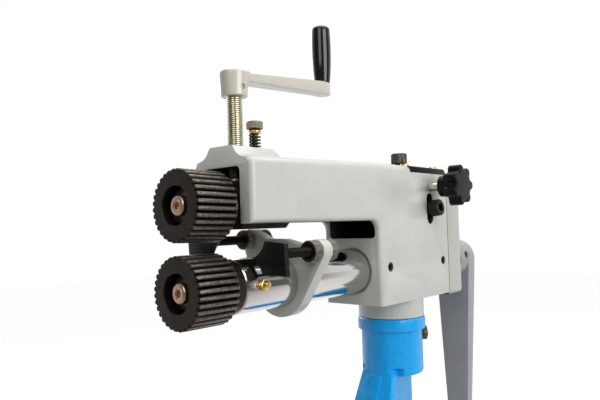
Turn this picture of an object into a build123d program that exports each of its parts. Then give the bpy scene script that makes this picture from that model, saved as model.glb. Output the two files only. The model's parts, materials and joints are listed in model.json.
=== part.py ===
"""Hand cranked sheet metal crimper with a bench clamp.

Sizes are in millimetres.  +X runs from the rollers back to the crank, +Y is the far side,
+Z is up.  The origin is the middle of the clamp's upper jaw face, which rests on the bench.
"""
import os
from math import acos, atan, cos, degrees, hypot, pi, radians, sin, sqrt, tan

from build123d import *

os.makedirs("parts", exist_ok=True)

# ---------------------------------------------------------------- driving dimensions
# rollers and spindles
ROLL_D = 50.0               # over the ribs
ROLL_LENGTH = 34.7
ROLL_GAP = 7.7              # between the rollers as drawn
RIBS = 32
RIB_HEIGHT = 1.2
RECESS_WALL = 3.5           # recess for the bolt, wider than the shaft's bore by this
ROLL_RECESS_DEPTH = 9.0
SHAFT_R = 10.0
COLLAR_R = 13.0             # shaft shoulder behind each roller
BOLT_HEAD_R = 7.0
BUSH_WALL = 5.0
TUBE_WALL = 5.05

# stations along the machine
THROAT_DEPTH = 177.25       # roller middle to the body's front face
BODY_LENGTH = 122.5
ARM_SETBACK = 41.4          # arm nose behind the roller face
TUBE_SETBACK = 45.7         # tube end behind the roller face
FEED_FROM_NOSE = 14.5       # feed screw axis behind the arm nose
LIFT_FROM_FEED = 20.0       # lift stud behind the feed screw
PIVOT_FROM_REAR = 34.1      # upper spindle's rear bearing, ahead of the body's rear face

# heights
AXIS_Z = 165.0              # lower spindle above the bench
BODY_BELOW_AXIS = 30.0
ARM_BELOW_UPPER = 12.7      # arm underside below the upper roller's axis
NOSE_ABOVE_UPPER = 33.9     # arm top at the nose above the upper roller's axis
BODY_ABOVE_PIVOT = 44.0     # body top above the upper spindle's rear bearing

# gears and rear cover
GEAR_TEETH = 20
GEAR_MODULE = 2.6
GEAR_ADDENDUM = 1.5
GEAR_DEDENDUM = 3.2
GEAR_WIDTH = 16.0
COVER_WALL = 3.2
COVER_DEPTH = 27.7
COVER_GAP = 0.8             # gear tips to the cover's inside
COVER_SEAM = 0.3

# fits
RUN = 0.05                  # radial clearance of a turning or sliding shaft
SEAT = 0.02                 # radial clearance of a fixed seat
APART = 0.3                 # between faces of parts that move

# casting
WALL = 5.8
BODY_FILLET = 4.0
TOP_FILLET = 6.0
NECK_HEIGHT = 16.7
SPIGOT_R = 20.0
SPIGOT_LENGTH = 45.0
WINDOW_HEIGHT = 15.7        # opening under the arm in the body's front face

# feed screw, lifting stud and bearing block
FEED_R = 6.0
FEED_PITCH = 1.5
BLOCK_HALF = 19.0
BLOCK_LENGTH = 48.0
BLOCK_ABOVE = 17.8          # block top above the upper axis
BLOCK_BELOW = 16.7
STUD_R = 3.0
STUD_SWAY = 1.8             # the stud swings forward by less than this as the rollers close
SPRING_WIRE_R = 0.6
SPRING_MEAN_R = 4.05
SPRING_TURNS = 3

# stop bracket and stops
BRACKET_SETBACK = 97.8      # bracket front behind the roller face
BRACKET_THICK = 10.0
BRACKET_TURN = 7.2          # degrees that the bracket stands turned on the tube
EAR_REACH = 35.0
EAR_BELOW_ARM = 17.0        # middle of a rod's ear below the arm's underside
EAR_R = 8.5
ROD_R = 3.65
ROD_NUT_R = 8.2
ROD_NUT_LENGTH = 9.0
STOP_THICK = 4.0

# crank and clamp
LEVER_LENGTH = 210.0
LEVER_HUB_R = 20.5
LEVER_EYE_R = 9.8
CRANK_RADIUS = 103.5
CLAMP_OPENING = 60.0
BENCH_THICK = 40.0          # bench that the clamp is drawn closed on
JAW_LENGTH = 72.0
CLAMP_SCREW_R = 7.0

# ---------------------------------------------------------------- places worked out
ROLL_R = ROLL_D / 2
ROLL_RECESS_R = SHAFT_R + RECESS_WALL
ROLL_FRONT_X = -(THROAT_DEPTH + ROLL_LENGTH / 2)
ROLL_REAR_X = ROLL_FRONT_X + ROLL_LENGTH
ARM_FRONT_X = ROLL_FRONT_X + ARM_SETBACK
TUBE_FRONT_X = ROLL_FRONT_X + TUBE_SETBACK
FEED_X = ARM_FRONT_X + FEED_FROM_NOSE
LIFT_X = FEED_X + LIFT_FROM_FEED
PIVOT_X = BODY_LENGTH - PIVOT_FROM_REAR
UPPER_Z = AXIS_Z + ROLL_D + ROLL_GAP
GEAR_PITCH_R = GEAR_TEETH * GEAR_MODULE / 2
GEAR_TIP_R = GEAR_PITCH_R + GEAR_ADDENDUM
PIVOT_Z = AXIS_Z + 2 * GEAR_PITCH_R
TILT = atan((UPPER_Z - PIVOT_Z) / (PIVOT_X + THROAT_DEPTH))
HALF_WIDTH = GEAR_TIP_R + COVER_GAP + COVER_WALL
BODY_BOTTOM = AXIS_Z - BODY_BELOW_AXIS
ARM_BOTTOM = UPPER_Z - ARM_BELOW_UPPER
EAR_RISE = ARM_BOTTOM - AXIS_Z - EAR_BELOW_ARM
NOSE_TOP = UPPER_Z + NOSE_ABOVE_UPPER
BODY_TOP = PIVOT_Z + BODY_ABOVE_PIVOT
BUSH_R = SHAFT_R + BUSH_WALL
TUBE_R = BUSH_R + SEAT + TUBE_WALL
NECK_R = HALF_WIDTH - 0.2
SOCKET_X = BODY_LENGTH / 2 - 0.6
NECK_BOTTOM = BODY_BOTTOM - NECK_HEIGHT


def station(x, y=0.0, z=AXIS_Z):
    """A cross plane at x: its own x is +Y, its own y is +Z and it faces +X."""
    return Plane(origin=(x, y, z), x_dir=(0, 1, 0), z_dir=(1, 0, 0))


def upper_station(x):
    """The same on the upper spindle, which leans down to the rear by TILT."""
    along = x - PIVOT_X
    origin = (PIVOT_X + along * cos(TILT), 0, PIVOT_Z - along * sin(TILT))
    return Plane(origin=origin, x_dir=(0, 1, 0), z_dir=(cos(TILT), 0, -sin(TILT)))


def level(z, x=0.0, y=0.0):
    """A horizontal plane at height z, centred on x and y."""
    return Plane(origin=(x, y, z), x_dir=(1, 0, 0), z_dir=(0, 0, 1))


def side(y, x=0.0, z=0.0):
    """An upright plane at y that faces the near side: its own x is +X, its own y is +Z."""
    return Plane(origin=(x, y, z), x_dir=(1, 0, 0), z_dir=(0, -1, 0))


def end_edges(piece, axis, last):
    """The edges of the first or last face of a piece along an axis."""
    return piece.faces().sort_by(axis)[-1 if last else 0].edges()


# ---------------------------------------------------------------- body casting
SLOT_HALF = BLOCK_HALF + APART
SLOT_TOP = UPPER_Z + 27.6
SLOT_REAR_X = ARM_FRONT_X + 3.6 + BLOCK_LENGTH + 3.0
BOSS_TOP = NOSE_TOP + 9.0
BOSS_HALF = 12.3
BOSS_LENGTH = 40.6
BOSS_TAIL = 6.0
ARM_ROOF = 8.0
THROAT_FILLET = 10.0
CAVITY_REAR_X = PIVOT_X - 26.0
SLEEVE_R = 20.0
SLEEVE_HALF = 16.0
PLATE_FRONT_X = BODY_LENGTH - 69.5
PLATE_THICK = 6.0
PLATE_Z = BODY_TOP - 0.3 - PLATE_THICK
TUBE_SEAT = 37.0
PIN_SLOT_HALF = 6.0
PIN_SLOT_LOW = AXIS_Z + 40.2
PIN_SLOT_HIGH = AXIS_Z + 70.5
STAR_Z = PIVOT_Z + SLEEVE_R + 4.3
STAR_R = 4.0
STAR_REACH = 48.0
SET_SCREW_R = 3.6
SET_SCREW_Z = AXIS_Z + 3.4
SET_SCREW_SETBACK = 14.1
REAR_SEAT = 25.0
PLATE_SCREW_R = 2.0
PLUG_R = 5.0
PLUG_X = PIVOT_X - 3.0
PLUG_END = STAR_Z + STAR_R + 2.3
COVER_SCREW_R = 2.5

side_outline = [
    (0, BODY_BOTTOM),
    (BODY_LENGTH, BODY_BOTTOM),
    (BODY_LENGTH, BODY_TOP),
    (0, BODY_TOP),
    (ARM_FRONT_X, NOSE_TOP),
    (ARM_FRONT_X, ARM_BOTTOM),
    (0, ARM_BOTTOM),
]
plate_screw_spots = [
    (x, y) for x in (PLATE_FRONT_X + 9.5, BODY_LENGTH - 6.0) for y in (-20.0, 20.0)
]
COVER_BOTTOM = BODY_BOTTOM - 2.3
COVER_TOP = PLATE_Z - 0.2
cover_screw_spots = [
    (y, z) for y in (-24.0, 24.0) for z in (COVER_BOTTOM + 7.5, COVER_TOP - 12.0)
]

with BuildPart() as body_casting:
    with BuildSketch(Plane.XZ):
        with BuildLine():
            Polyline(*side_outline, close=True)
        make_face()
    extrude(amount=HALF_WIDTH, both=True)
    throat_corner = body_casting.edges().filter_by(Axis.Y).sort_by_distance((0, 0, ARM_BOTTOM))[0]
    fillet(throat_corner, THROAT_FILLET)
    long_top = body_casting.edges().filter_by(lambda e: e.center().Z > NOSE_TOP - 1).filter_by(
        lambda e: abs(abs(e.center().Y) - HALF_WIDTH) < 0.1
    )
    fillet(long_top, TOP_FILLET)
    uprights = body_casting.edges().filter_by(Axis.Z).filter_by(
        lambda e: e.center().X < BODY_LENGTH - 1 and e.length > 20
    )
    fillet(uprights, BODY_FILLET)
    # raised boss for the feed screw and the lifting stud
    with BuildSketch(station(ARM_FRONT_X, z=0)):
        with BuildLine():
            boss_right = Polyline(
                (0, NOSE_TOP - 8), (27, NOSE_TOP - 8), (27, NOSE_TOP - 1.2),
                (20, NOSE_TOP + 0.4), (16.2, NOSE_TOP + 2.9), (BOSS_HALF, BOSS_TOP - 0.4),
                (BOSS_HALF - 1.5, BOSS_TOP), (0, BOSS_TOP),
            )
            mirror(boss_right, about=Plane.YZ)
        make_face()
    extrude(amount=BOSS_LENGTH + BOSS_TAIL)
    with BuildSketch(Plane.XZ):
        with BuildLine():
            Polyline(
                (ARM_FRONT_X + BOSS_LENGTH, BOSS_TOP + 1),
                (ARM_FRONT_X + BOSS_LENGTH, BOSS_TOP),
                (ARM_FRONT_X + BOSS_LENGTH + BOSS_TAIL, NOSE_TOP + 1.0),
                (ARM_FRONT_X + BOSS_LENGTH + BOSS_TAIL + 1, BOSS_TOP + 1),
                close=True,
            )
        make_face()
    extrude(amount=HALF_WIDTH, both=True, mode=Mode.SUBTRACT)
    # neck and spigot
    with BuildSketch(level(BODY_BOTTOM + 1, SOCKET_X)):
        Circle(NECK_R)
    extrude(amount=-(NECK_HEIGHT + 1))
    with BuildSketch(level(NECK_BOTTOM, SOCKET_X)):
        Circle(SPIGOT_R - RUN)
    extrude(amount=-SPIGOT_LENGTH)
    # slot for the bearing block, open to the front and below
    with BuildSketch(station(ARM_FRONT_X - 1, z=0)):
        with Locations((0, (ARM_BOTTOM - 1 + SLOT_TOP) / 2)):
            RectangleRounded(2 * SLOT_HALF, SLOT_TOP - ARM_BOTTOM + 1, 4.0)
        with Locations((0, ARM_BOTTOM)):
            Rectangle(2 * SLOT_HALF, 20)
    extrude(amount=SLOT_REAR_X - ARM_FRONT_X + 1, mode=Mode.SUBTRACT)
    # hollow arm, open below, and the window behind it that the upper spindle runs through
    with BuildSketch(station(SLOT_REAR_X - 1, z=0)):
        with Locations((0, (ARM_BOTTOM - WINDOW_HEIGHT + NOSE_TOP - ARM_ROOF) / 2)):
            RectangleRounded(2 * (HALF_WIDTH - WALL), NOSE_TOP - ARM_ROOF - ARM_BOTTOM + WINDOW_HEIGHT, 4.0)
    extrude(amount=CAVITY_REAR_X - SLOT_REAR_X + 1, mode=Mode.SUBTRACT)
    # bores for the tube, the lower spindle and the adjuster sleeve
    with BuildSketch(station(-1)):
        Circle(TUBE_R + SEAT)
    extrude(amount=TUBE_SEAT + 1, mode=Mode.SUBTRACT)
    with BuildSketch(station(-1)):
        Circle(TUBE_R + 0.9)
    extrude(amount=2.2, mode=Mode.SUBTRACT)
    with BuildSketch(station(TUBE_SEAT - 1)):
        Circle(SHAFT_R + 3.0)
    extrude(amount=BODY_LENGTH, mode=Mode.SUBTRACT)
    with BuildSketch(station(BODY_LENGTH - REAR_SEAT)):
        Circle(BUSH_R + SEAT)
    extrude(amount=REAR_SEAT + 1, mode=Mode.SUBTRACT)
    with BuildSketch(station(CAVITY_REAR_X - 1, z=PIVOT_Z)):
        Circle(SLEEVE_R + RUN)
    extrude(amount=BODY_LENGTH, mode=Mode.SUBTRACT)
    # recess of the top plate, its screw holes and the plug's hole
    with Locations(((PLATE_FRONT_X + BODY_LENGTH) / 2 + 2, 0, PLATE_Z + 10)):
        Box(BODY_LENGTH - PLATE_FRONT_X + 4, 2 * HALF_WIDTH + 2, 20, mode=Mode.SUBTRACT)
    with BuildSketch(level(PLATE_Z + 1)):
        with Locations(*plate_screw_spots):
            Circle(PLATE_SCREW_R + SEAT)
    extrude(amount=-8.0, mode=Mode.SUBTRACT)
    with BuildSketch(level(PLATE_Z + 1, PLUG_X)):
        Circle(PLUG_R + SEAT)
    extrude(amount=PLUG_END - 1.0 - PLATE_Z - 1, mode=Mode.SUBTRACT)
    # saw cut that the star knob draws together over the sleeve
    with Locations((PIVOT_X, -10.0, PLATE_Z - 9.0)):
        Box(44.0, 2.0, 22.0, mode=Mode.SUBTRACT)
    # slot that the adjuster's screw moves in, and the hole of the star knob's stud
    with BuildSketch(side(-HALF_WIDTH - 1, PIVOT_X, (PIN_SLOT_LOW + PIN_SLOT_HIGH) / 2)):
        SlotOverall(PIN_SLOT_HIGH - PIN_SLOT_LOW, 2 * PIN_SLOT_HALF, rotation=90)
    extrude(amount=-(HALF_WIDTH - 8), mode=Mode.SUBTRACT)
    with BuildSketch(side(-HALF_WIDTH - 1, PIVOT_X, STAR_Z)):
        Circle(STAR_R + RUN)
    extrude(amount=-(STAR_REACH + 2), mode=Mode.SUBTRACT)
    # set screw holes
    with BuildSketch(side(-HALF_WIDTH - 1, 0, SET_SCREW_Z)):
        with Locations((SET_SCREW_SETBACK, 0), (BODY_LENGTH - 11.6, 0)):
            Circle(SET_SCREW_R + SEAT)
    extrude(amount=-(HALF_WIDTH - BUSH_R + 3), mode=Mode.SUBTRACT)
    # feed screw and lifting stud holes
    with BuildSketch(level(BOSS_TOP + 1)):
        with Locations((FEED_X, 0)):
            Circle(FEED_R + RUN)
        with Locations((LIFT_X - STUD_SWAY / 2, 0)):
            SlotCenterToCenter(STUD_SWAY, 2 * (STUD_R + APART))
    extrude(amount=-(BOSS_TOP + 2 - SLOT_TOP), mode=Mode.SUBTRACT)
    # blind holes of the gear cover's screws
    with BuildSketch(station(BODY_LENGTH + 1, z=0)):
        with Locations(*cover_screw_spots):
            Circle(COVER_SCREW_R + SEAT)
    extrude(amount=-13.0, mode=Mode.SUBTRACT)
body_casting.part.label = "body_casting"
export_step(body_casting.part, "parts/body_casting.step")

# ---------------------------------------------------------------- top plate, plug, set screws
with BuildPart() as top_cover_plate:
    with Locations(((PLATE_FRONT_X + 0.2 + BODY_LENGTH) / 2, 0, PLATE_Z)):
        Box(
            BODY_LENGTH - PLATE_FRONT_X - 0.2, 2 * HALF_WIDTH - 0.6, PLATE_THICK,
            align=(Align.CENTER, Align.CENTER, Align.MIN),
        )
    rear_top = top_cover_plate.edges().filter_by(Axis.Y).sort_by_distance((BODY_LENGTH, 0, BODY_TOP))[0]
    chamfer(rear_top, 3.0)
    chamfer(end_edges(top_cover_plate, Axis.Z, True).filter_by(Axis.X), 0.8)
    with BuildSketch(level(PLATE_Z - 1)):
        with Locations(*plate_screw_spots):
            Circle(PLATE_SCREW_R + 0.3)
        with Locations((PLUG_X, 0)):
            Circle(PLUG_R + 0.4)
    extrude(amount=PLATE_THICK + 2, mode=Mode.SUBTRACT)
top_cover_plate.part.label = "top_cover_plate"
export_step(top_cover_plate.part, "parts/top_cover_plate.step")

PLATE_TOP = PLATE_Z + PLATE_THICK
PLATE_HEAD_R = 4.4
PLATE_HEAD_HEIGHT = 2.8
with BuildPart() as top_cover_screws:
    for spot_x, spot_y in plate_screw_spots:
        with BuildSketch(level(PLATE_TOP, spot_x, spot_y)):
            Circle(PLATE_HEAD_R)
        extrude(amount=PLATE_HEAD_HEIGHT, taper=12)
        with BuildSketch(level(PLATE_TOP, spot_x, spot_y)):
            Circle(PLATE_SCREW_R)
        extrude(amount=-(PLATE_THICK + 6))
        with BuildSketch(level(PLATE_TOP + PLATE_HEAD_HEIGHT, spot_x, spot_y)):
            Rectangle(2 * PLATE_HEAD_R, 1.2, rotation=25)
        extrude(amount=-1.2, mode=Mode.SUBTRACT)
top_cover_screws.part.label = "top_cover_screws"
export_step(top_cover_screws.part, "parts/top_cover_screws.step")

PLUG_NUT = 5.0
PLUG_HEAD_LOW = AXIS_Z + 102.3
PLUG_HEAD_R = 8.0
PLUG_HEAD = 10.0
with BuildPart() as oil_plug_nut:
    with BuildSketch(level(PLATE_TOP, PLUG_X)):
        RegularPolygon(8.5, 6, major_radius=False)
        Circle(PLUG_R + SEAT, mode=Mode.SUBTRACT)
    extrude(amount=PLUG_NUT)
oil_plug_nut.part.label = "oil_plug_nut"
export_step(oil_plug_nut.part, "parts/oil_plug_nut.step")


def cap_screw(plane, head_r, head_height, shank_r, shank_length, socket_flats):
    """A socket head cap screw: its head stands on the plane and its shank runs back from it."""
    with BuildPart() as screw:
        with BuildSketch(plane):
            Circle(head_r)
        extrude(amount=head_height)
        top = screw.faces().sort_by_distance(plane.origin + plane.z_dir * head_height)[0]
        chamfer(top.edges(), 0.6)
        with BuildSketch(plane):
            Circle(shank_r)
        extrude(amount=-shank_length)
        with BuildSketch(plane.offset(head_height)):
            RegularPolygon(socket_flats / 2, 6, major_radius=False)
        extrude(amount=-0.55 * head_height, mode=Mode.SUBTRACT)
    return screw


oil_plug_screw = cap_screw(
    level(PLUG_HEAD_LOW, PLUG_X), PLUG_HEAD_R, PLUG_HEAD, PLUG_R, PLUG_HEAD_LOW - PLUG_END, 8.0
)
oil_plug_screw.part.label = "oil_plug_screw"
export_step(oil_plug_screw.part, "parts/oil_plug_screw.step")

SET_SCREW_LENGTH = 8.0
with BuildPart() as spindle_set_screws:
    for screw_x, seat_r in ((SET_SCREW_SETBACK, TUBE_R), (BODY_LENGTH - 11.6, BUSH_R)):
        inner = -(sqrt(seat_r**2 - (SET_SCREW_Z - AXIS_Z) ** 2) + 0.5)
        with BuildSketch(side(inner, screw_x, SET_SCREW_Z)):
            Circle(SET_SCREW_R)
        extrude(amount=HALF_WIDTH + inner - 1.4)
        with BuildSketch(side(-HALF_WIDTH + 1.4, screw_x, SET_SCREW_Z)):
            RegularPolygon(2.0, 6, major_radius=False)
        extrude(amount=-4.0, mode=Mode.SUBTRACT)
spindle_set_screws.part.label = "spindle_set_screws"
export_step(spindle_set_screws.part, "parts/spindle_set_screws.step")

# ---------------------------------------------------------------- rear gear cover
COVER_X = BODY_LENGTH + COVER_SEAM
COVER_REAR_X = COVER_X + COVER_DEPTH
with BuildPart() as gear_cover:
    with Locations((COVER_X, 0, COVER_BOTTOM)):
        Box(
            COVER_DEPTH, 2 * HALF_WIDTH, COVER_TOP - COVER_BOTTOM,
            align=(Align.MIN, Align.CENTER, Align.MIN),
        )
    fillet(gear_cover.edges().filter_by(Axis.X), BODY_FILLET)
    fillet(end_edges(gear_cover, Axis.X, True), 2.0)
    with Locations((COVER_X - 1, 0, COVER_BOTTOM + COVER_WALL)):
        Box(
            COVER_DEPTH - COVER_WALL + 1, 2 * (HALF_WIDTH - COVER_WALL),
            COVER_TOP - COVER_BOTTOM - 2 * COVER_WALL,
            align=(Align.MIN, Align.CENTER, Align.MIN), mode=Mode.SUBTRACT,
        )
    with BuildSketch(station(COVER_X, z=0)):
        with Locations(*cover_screw_spots):
            Circle(4.5)
    extrude(amount=COVER_DEPTH - 1)
    with BuildSketch(station(COVER_X - 1, z=0)):
        with Locations(*cover_screw_spots):
            Circle(COVER_SCREW_R + 0.2)
        with Locations((0, AXIS_Z)):
            Circle(SHAFT_R + 0.4)
    extrude(amount=COVER_DEPTH + 2, mode=Mode.SUBTRACT)
gear_cover.part.label = "gear_cover"
export_step(gear_cover.part, "parts/gear_cover.step")

with BuildPart() as gear_cover_screws:
    for spot_y, spot_z in cover_screw_spots:
        head = station(COVER_REAR_X, spot_y, spot_z)
        with BuildSketch(head):
            Circle(4.25)
        extrude(amount=5.0)
        with BuildSketch(head):
            Circle(COVER_SCREW_R)
        extrude(amount=-(COVER_DEPTH + COVER_SEAM + 11))
        with BuildSketch(head.offset(5.0)):
            RegularPolygon(2.0, 6, major_radius=False)
        extrude(amount=-2.8, mode=Mode.SUBTRACT)
gear_cover_screws.part.label = "gear_cover_screws"
export_step(gear_cover_screws.part, "parts/gear_cover_screws.step")

# ---------------------------------------------------------------- lower tube and its bushes
BUSH_FLANGE_R = 19.0
BUSH_FLANGE = 7.4
COLLAR_LENGTH = TUBE_SETBACK - ROLL_LENGTH - BUSH_FLANGE - APART
with BuildPart() as lower_tube:
    with BuildSketch(station(TUBE_FRONT_X)):
        Circle(TUBE_R)
        Circle(BUSH_R + SEAT, mode=Mode.SUBTRACT)
    extrude(amount=TUBE_SEAT - 0.2 - TUBE_FRONT_X)
    chamfer(end_edges(lower_tube, Axis.X, False).sort_by(SortBy.LENGTH)[-1], 1.0)
    NIPPLE_X = ROLL_FRONT_X + 61.2
    NIPPLE_Z = AXIS_Z + 1.5
    with BuildSketch(side(-TUBE_R - 1, NIPPLE_X, NIPPLE_Z)):
        Circle(2.6)
    extrude(amount=-TUBE_WALL - 3, mode=Mode.SUBTRACT)
lower_tube.part.label = "lower_tube"
export_step(lower_tube.part, "parts/lower_tube.step")

with BuildPart() as grease_nipple:
    with BuildSketch(side(-TUBE_R + 4.0, NIPPLE_X, NIPPLE_Z)):
        Circle(2.55)
    extrude(amount=4.2)
    with BuildSketch(side(-TUBE_R - 0.1, NIPPLE_X, NIPPLE_Z)):
        RegularPolygon(4.2, 6, major_radius=False)
    extrude(amount=2.4)
    with BuildSketch(side(-TUBE_R - 2.5, NIPPLE_X, NIPPLE_Z)):
        Circle(2.4)
    extrude(amount=1.2)
    with BuildSketch(side(-TUBE_R - 3.6, NIPPLE_X, NIPPLE_Z)):
        Circle(3.0)
    extrude(amount=1.8, taper=25)
grease_nipple.part.label = "grease_nipple"
export_step(grease_nipple.part, "parts/grease_nipple.step")

FRONT_BUSH_LENGTH = 38.0
with BuildPart() as lower_front_bush:
    with BuildSketch(station(TUBE_FRONT_X - BUSH_FLANGE)):
        Circle(BUSH_FLANGE_R)
    extrude(amount=BUSH_FLANGE)
    with BuildSketch(station(TUBE_FRONT_X)):
        Circle(BUSH_R)
    extrude(amount=FRONT_BUSH_LENGTH)
    with BuildSketch(station(TUBE_FRONT_X - BUSH_FLANGE - 1)):
        Circle(SHAFT_R + RUN)
    extrude(amount=FRONT_BUSH_LENGTH + BUSH_FLANGE + 2, mode=Mode.SUBTRACT)
    chamfer(end_edges(lower_front_bush, Axis.X, False).sort_by(SortBy.LENGTH)[-1], 1.0)
lower_front_bush.part.label = "lower_front_bush"
export_step(lower_front_bush.part, "parts/lower_front_bush.step")

with BuildPart() as lower_rear_bush:
    with BuildSketch(station(BODY_LENGTH - REAR_SEAT + 0.5)):
        Circle(BUSH_R)
        Circle(SHAFT_R + RUN, mode=Mode.SUBTRACT)
    extrude(amount=REAR_SEAT - 0.5)
lower_rear_bush.part.label = "lower_rear_bush"
export_step(lower_rear_bush.part, "parts/lower_rear_bush.step")

# ---------------------------------------------------------------- the two spindles
KEY_WIDTH = 5.0
KEY_HEIGHT = 5.0
KEY_SINK = 3.0              # depth of the key in the shaft
KEY_LENGTH = 16.0
WASHER_R = 8.75
WASHER_THICK = 2.0
ROLL_BOLT_R = 4.0
ROLL_BOLT_HEAD = 5.0
NOSE_SETBACK = 9.5          # shaft end behind the roller face
GEAR_X = BODY_LENGTH + 4.9
UPPER_SHAFT_END = GEAR_X + GEAR_WIDTH + 1.5
RELIEF = 1.5                # the shafts are thinner between their bearings
RELIEF_FRONT_X = ARM_FRONT_X + 3.6 + BLOCK_LENGTH + 5.0
RELIEF_REAR_X = PIVOT_X - 22.0
LEVER_BOSS_X = COVER_REAR_X + 1.5
LEVER_ARM_X = COVER_REAR_X + 40.9
LEVER_THICK = 15.0
LOWER_SHAFT_END = LEVER_ARM_X + LEVER_THICK - 1.0


def spindle_shaft(at, collar_length, end_x):
    """A shaft on the planes that at(x) gives: nose, shoulder, keyways and bolt hole."""
    nose_x = ROLL_FRONT_X + NOSE_SETBACK
    with BuildPart() as shaft:
        with BuildSketch(at(nose_x)):
            Circle(SHAFT_R)
        extrude(amount=end_x - nose_x)
        with BuildSketch(at(RELIEF_FRONT_X)):
            Circle(SHAFT_R + 1)
            Circle(SHAFT_R - RELIEF, mode=Mode.SUBTRACT)
        extrude(amount=RELIEF_REAR_X - RELIEF_FRONT_X, mode=Mode.SUBTRACT)
        with BuildSketch(at(ROLL_REAR_X)):
            Circle(COLLAR_R)
        extrude(amount=collar_length)
        with BuildSketch(at(nose_x - 1)):
            Circle(ROLL_BOLT_R + SEAT)
        extrude(amount=22.0, mode=Mode.SUBTRACT)
        for key_x in (key_start(ROLL_REAR_X), GEAR_X):
            with BuildSketch(at(key_x - 0.1)):
                with Locations((-(SHAFT_R - KEY_SINK / 2 + 0.5), 0)):
                    Rectangle(KEY_SINK + 1, KEY_WIDTH + 2 * SEAT)
            extrude(amount=KEY_LENGTH + 0.2, mode=Mode.SUBTRACT)
    return shaft


def key_start(bore_end):
    """Front end of a roller's key, which stops just short of the shoulder."""
    return bore_end - KEY_LENGTH - 1.0


def spindle_keys(at):
    """The roller's key and the gear's key, on the near side of the shaft."""
    with BuildPart() as keys:
        for key_x in (key_start(ROLL_REAR_X), GEAR_X):
            with BuildSketch(at(key_x)):
                with Locations((-(SHAFT_R - KEY_SINK + KEY_HEIGHT / 2) - SEAT, 0)):
                    Rectangle(KEY_HEIGHT, KEY_WIDTH)
            extrude(amount=KEY_LENGTH)
    return keys


# section of a bore with its keyway on the near side
with BuildSketch() as keyed_section:
    Circle(SHAFT_R + SEAT)
    with Locations((-(SHAFT_R - KEY_SINK + KEY_HEIGHT + 0.2) / 2, 0)):
        Rectangle(SHAFT_R - KEY_SINK + KEY_HEIGHT + 0.2, KEY_WIDTH + 2 * SEAT)


def crimp_roller(at):
    """A roller with rounded ribs along its length and a recess for its bolt."""
    root_r = ROLL_R - RIB_HEIGHT
    rib_r = 0.45 * pi * ROLL_R / RIBS * 2 * 0.95
    with BuildPart() as roller:
        with BuildSketch(at(ROLL_FRONT_X)):
            Circle(root_r)
            with PolarLocations(ROLL_R - rib_r, RIBS):
                Circle(rib_r)
        extrude(amount=ROLL_LENGTH)
        # both ends are bevelled
        bevel = RIB_HEIGHT
        plane = at(ROLL_FRONT_X)
        with BuildSketch(Plane(origin=plane.origin, x_dir=plane.z_dir, z_dir=-plane.x_dir)):
            with BuildLine():
                Polyline(
                    (0, 0), (0, ROLL_R - bevel), (bevel, ROLL_R), (ROLL_LENGTH - bevel, ROLL_R),
                    (ROLL_LENGTH, ROLL_R - bevel), (ROLL_LENGTH, 0), close=True,
                )
            make_face()
        revolve(axis=Axis(plane.origin, plane.z_dir), mode=Mode.INTERSECT)
        with BuildSketch(at(ROLL_FRONT_X - 1)):
            Circle(ROLL_RECESS_R)
        extrude(amount=ROLL_RECESS_DEPTH + 1, mode=Mode.SUBTRACT)
        with BuildSketch(at(ROLL_FRONT_X)):
            add(keyed_section.sketch)
        extrude(amount=ROLL_LENGTH + 1, mode=Mode.SUBTRACT)
    return roller


def roller_washer(at):
    """The washer that the roller's bolt draws against the roller."""
    with BuildPart() as washer:
        with BuildSketch(at(ROLL_FRONT_X + ROLL_RECESS_DEPTH - WASHER_THICK)):
            Circle(ROLL_RECESS_R - 2.0)
            Circle(ROLL_BOLT_R + 0.3, mode=Mode.SUBTRACT)
        extrude(amount=WASHER_THICK)
    return washer


def roller_bolt(at):
    """The bolt in the shaft's end: a round head with a small hexagon socket."""
    head_x = ROLL_FRONT_X + ROLL_RECESS_DEPTH - WASHER_THICK
    with BuildPart() as bolt:
        with BuildSketch(at(head_x - ROLL_BOLT_HEAD)):
            Circle(BOLT_HEAD_R)
        extrude(amount=ROLL_BOLT_HEAD)
        front = bolt.faces().sort_by(Axis.X)[0]
        chamfer(front.edges(), 0.8)
        with BuildSketch(at(head_x)):
            Circle(ROLL_BOLT_R)
        extrude(amount=20.0)
        with BuildSketch(at(head_x - ROLL_BOLT_HEAD)):
            RegularPolygon(2.5, 6, major_radius=False)
        extrude(amount=2.6, mode=Mode.SUBTRACT)
    return bolt


def spur_gear(at, phase):
    """A coarse gear with loose teeth, which stays in mesh as the upper spindle tilts."""
    root_r = GEAR_PITCH_R - GEAR_DEDENDUM
    half_pitch = 0.36 * pi * GEAR_MODULE / 2
    lean = tan(radians(20))
    half_tip = half_pitch - GEAR_ADDENDUM * lean
    half_root = half_pitch + GEAR_DEDENDUM * lean
    with BuildPart() as gear:
        with BuildSketch(at(GEAR_X)):
            Circle(root_r)
            with PolarLocations(0, GEAR_TEETH, start_angle=phase):
                Polygon(
                    (root_r - 1, -half_root), (root_r, -half_root), (GEAR_TIP_R - 0.1, -half_tip),
                    (GEAR_TIP_R, 0), (GEAR_TIP_R - 0.1, half_tip), (root_r, half_root),
                    (root_r - 1, half_root), align=None,
                )
        extrude(amount=GEAR_WIDTH)
        with BuildSketch(at(GEAR_X - 1)):
            add(keyed_section.sketch)
        extrude(amount=GEAR_WIDTH + 2, mode=Mode.SUBTRACT)
    return gear


lower_shaft = spindle_shaft(station, COLLAR_LENGTH, LOWER_SHAFT_END)
lower_shaft.part.label = "lower_shaft"
export_step(lower_shaft.part, "parts/lower_shaft.step")

upper_shaft = spindle_shaft(upper_station, ARM_SETBACK - ROLL_LENGTH - 0.8, UPPER_SHAFT_END)
upper_shaft.part.label = "upper_shaft"
export_step(upper_shaft.part, "parts/upper_shaft.step")

lower_spindle_keys = spindle_keys(station)
lower_spindle_keys.part.label = "lower_spindle_keys"
export_step(lower_spindle_keys.part, "parts/lower_spindle_keys.step")

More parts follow.
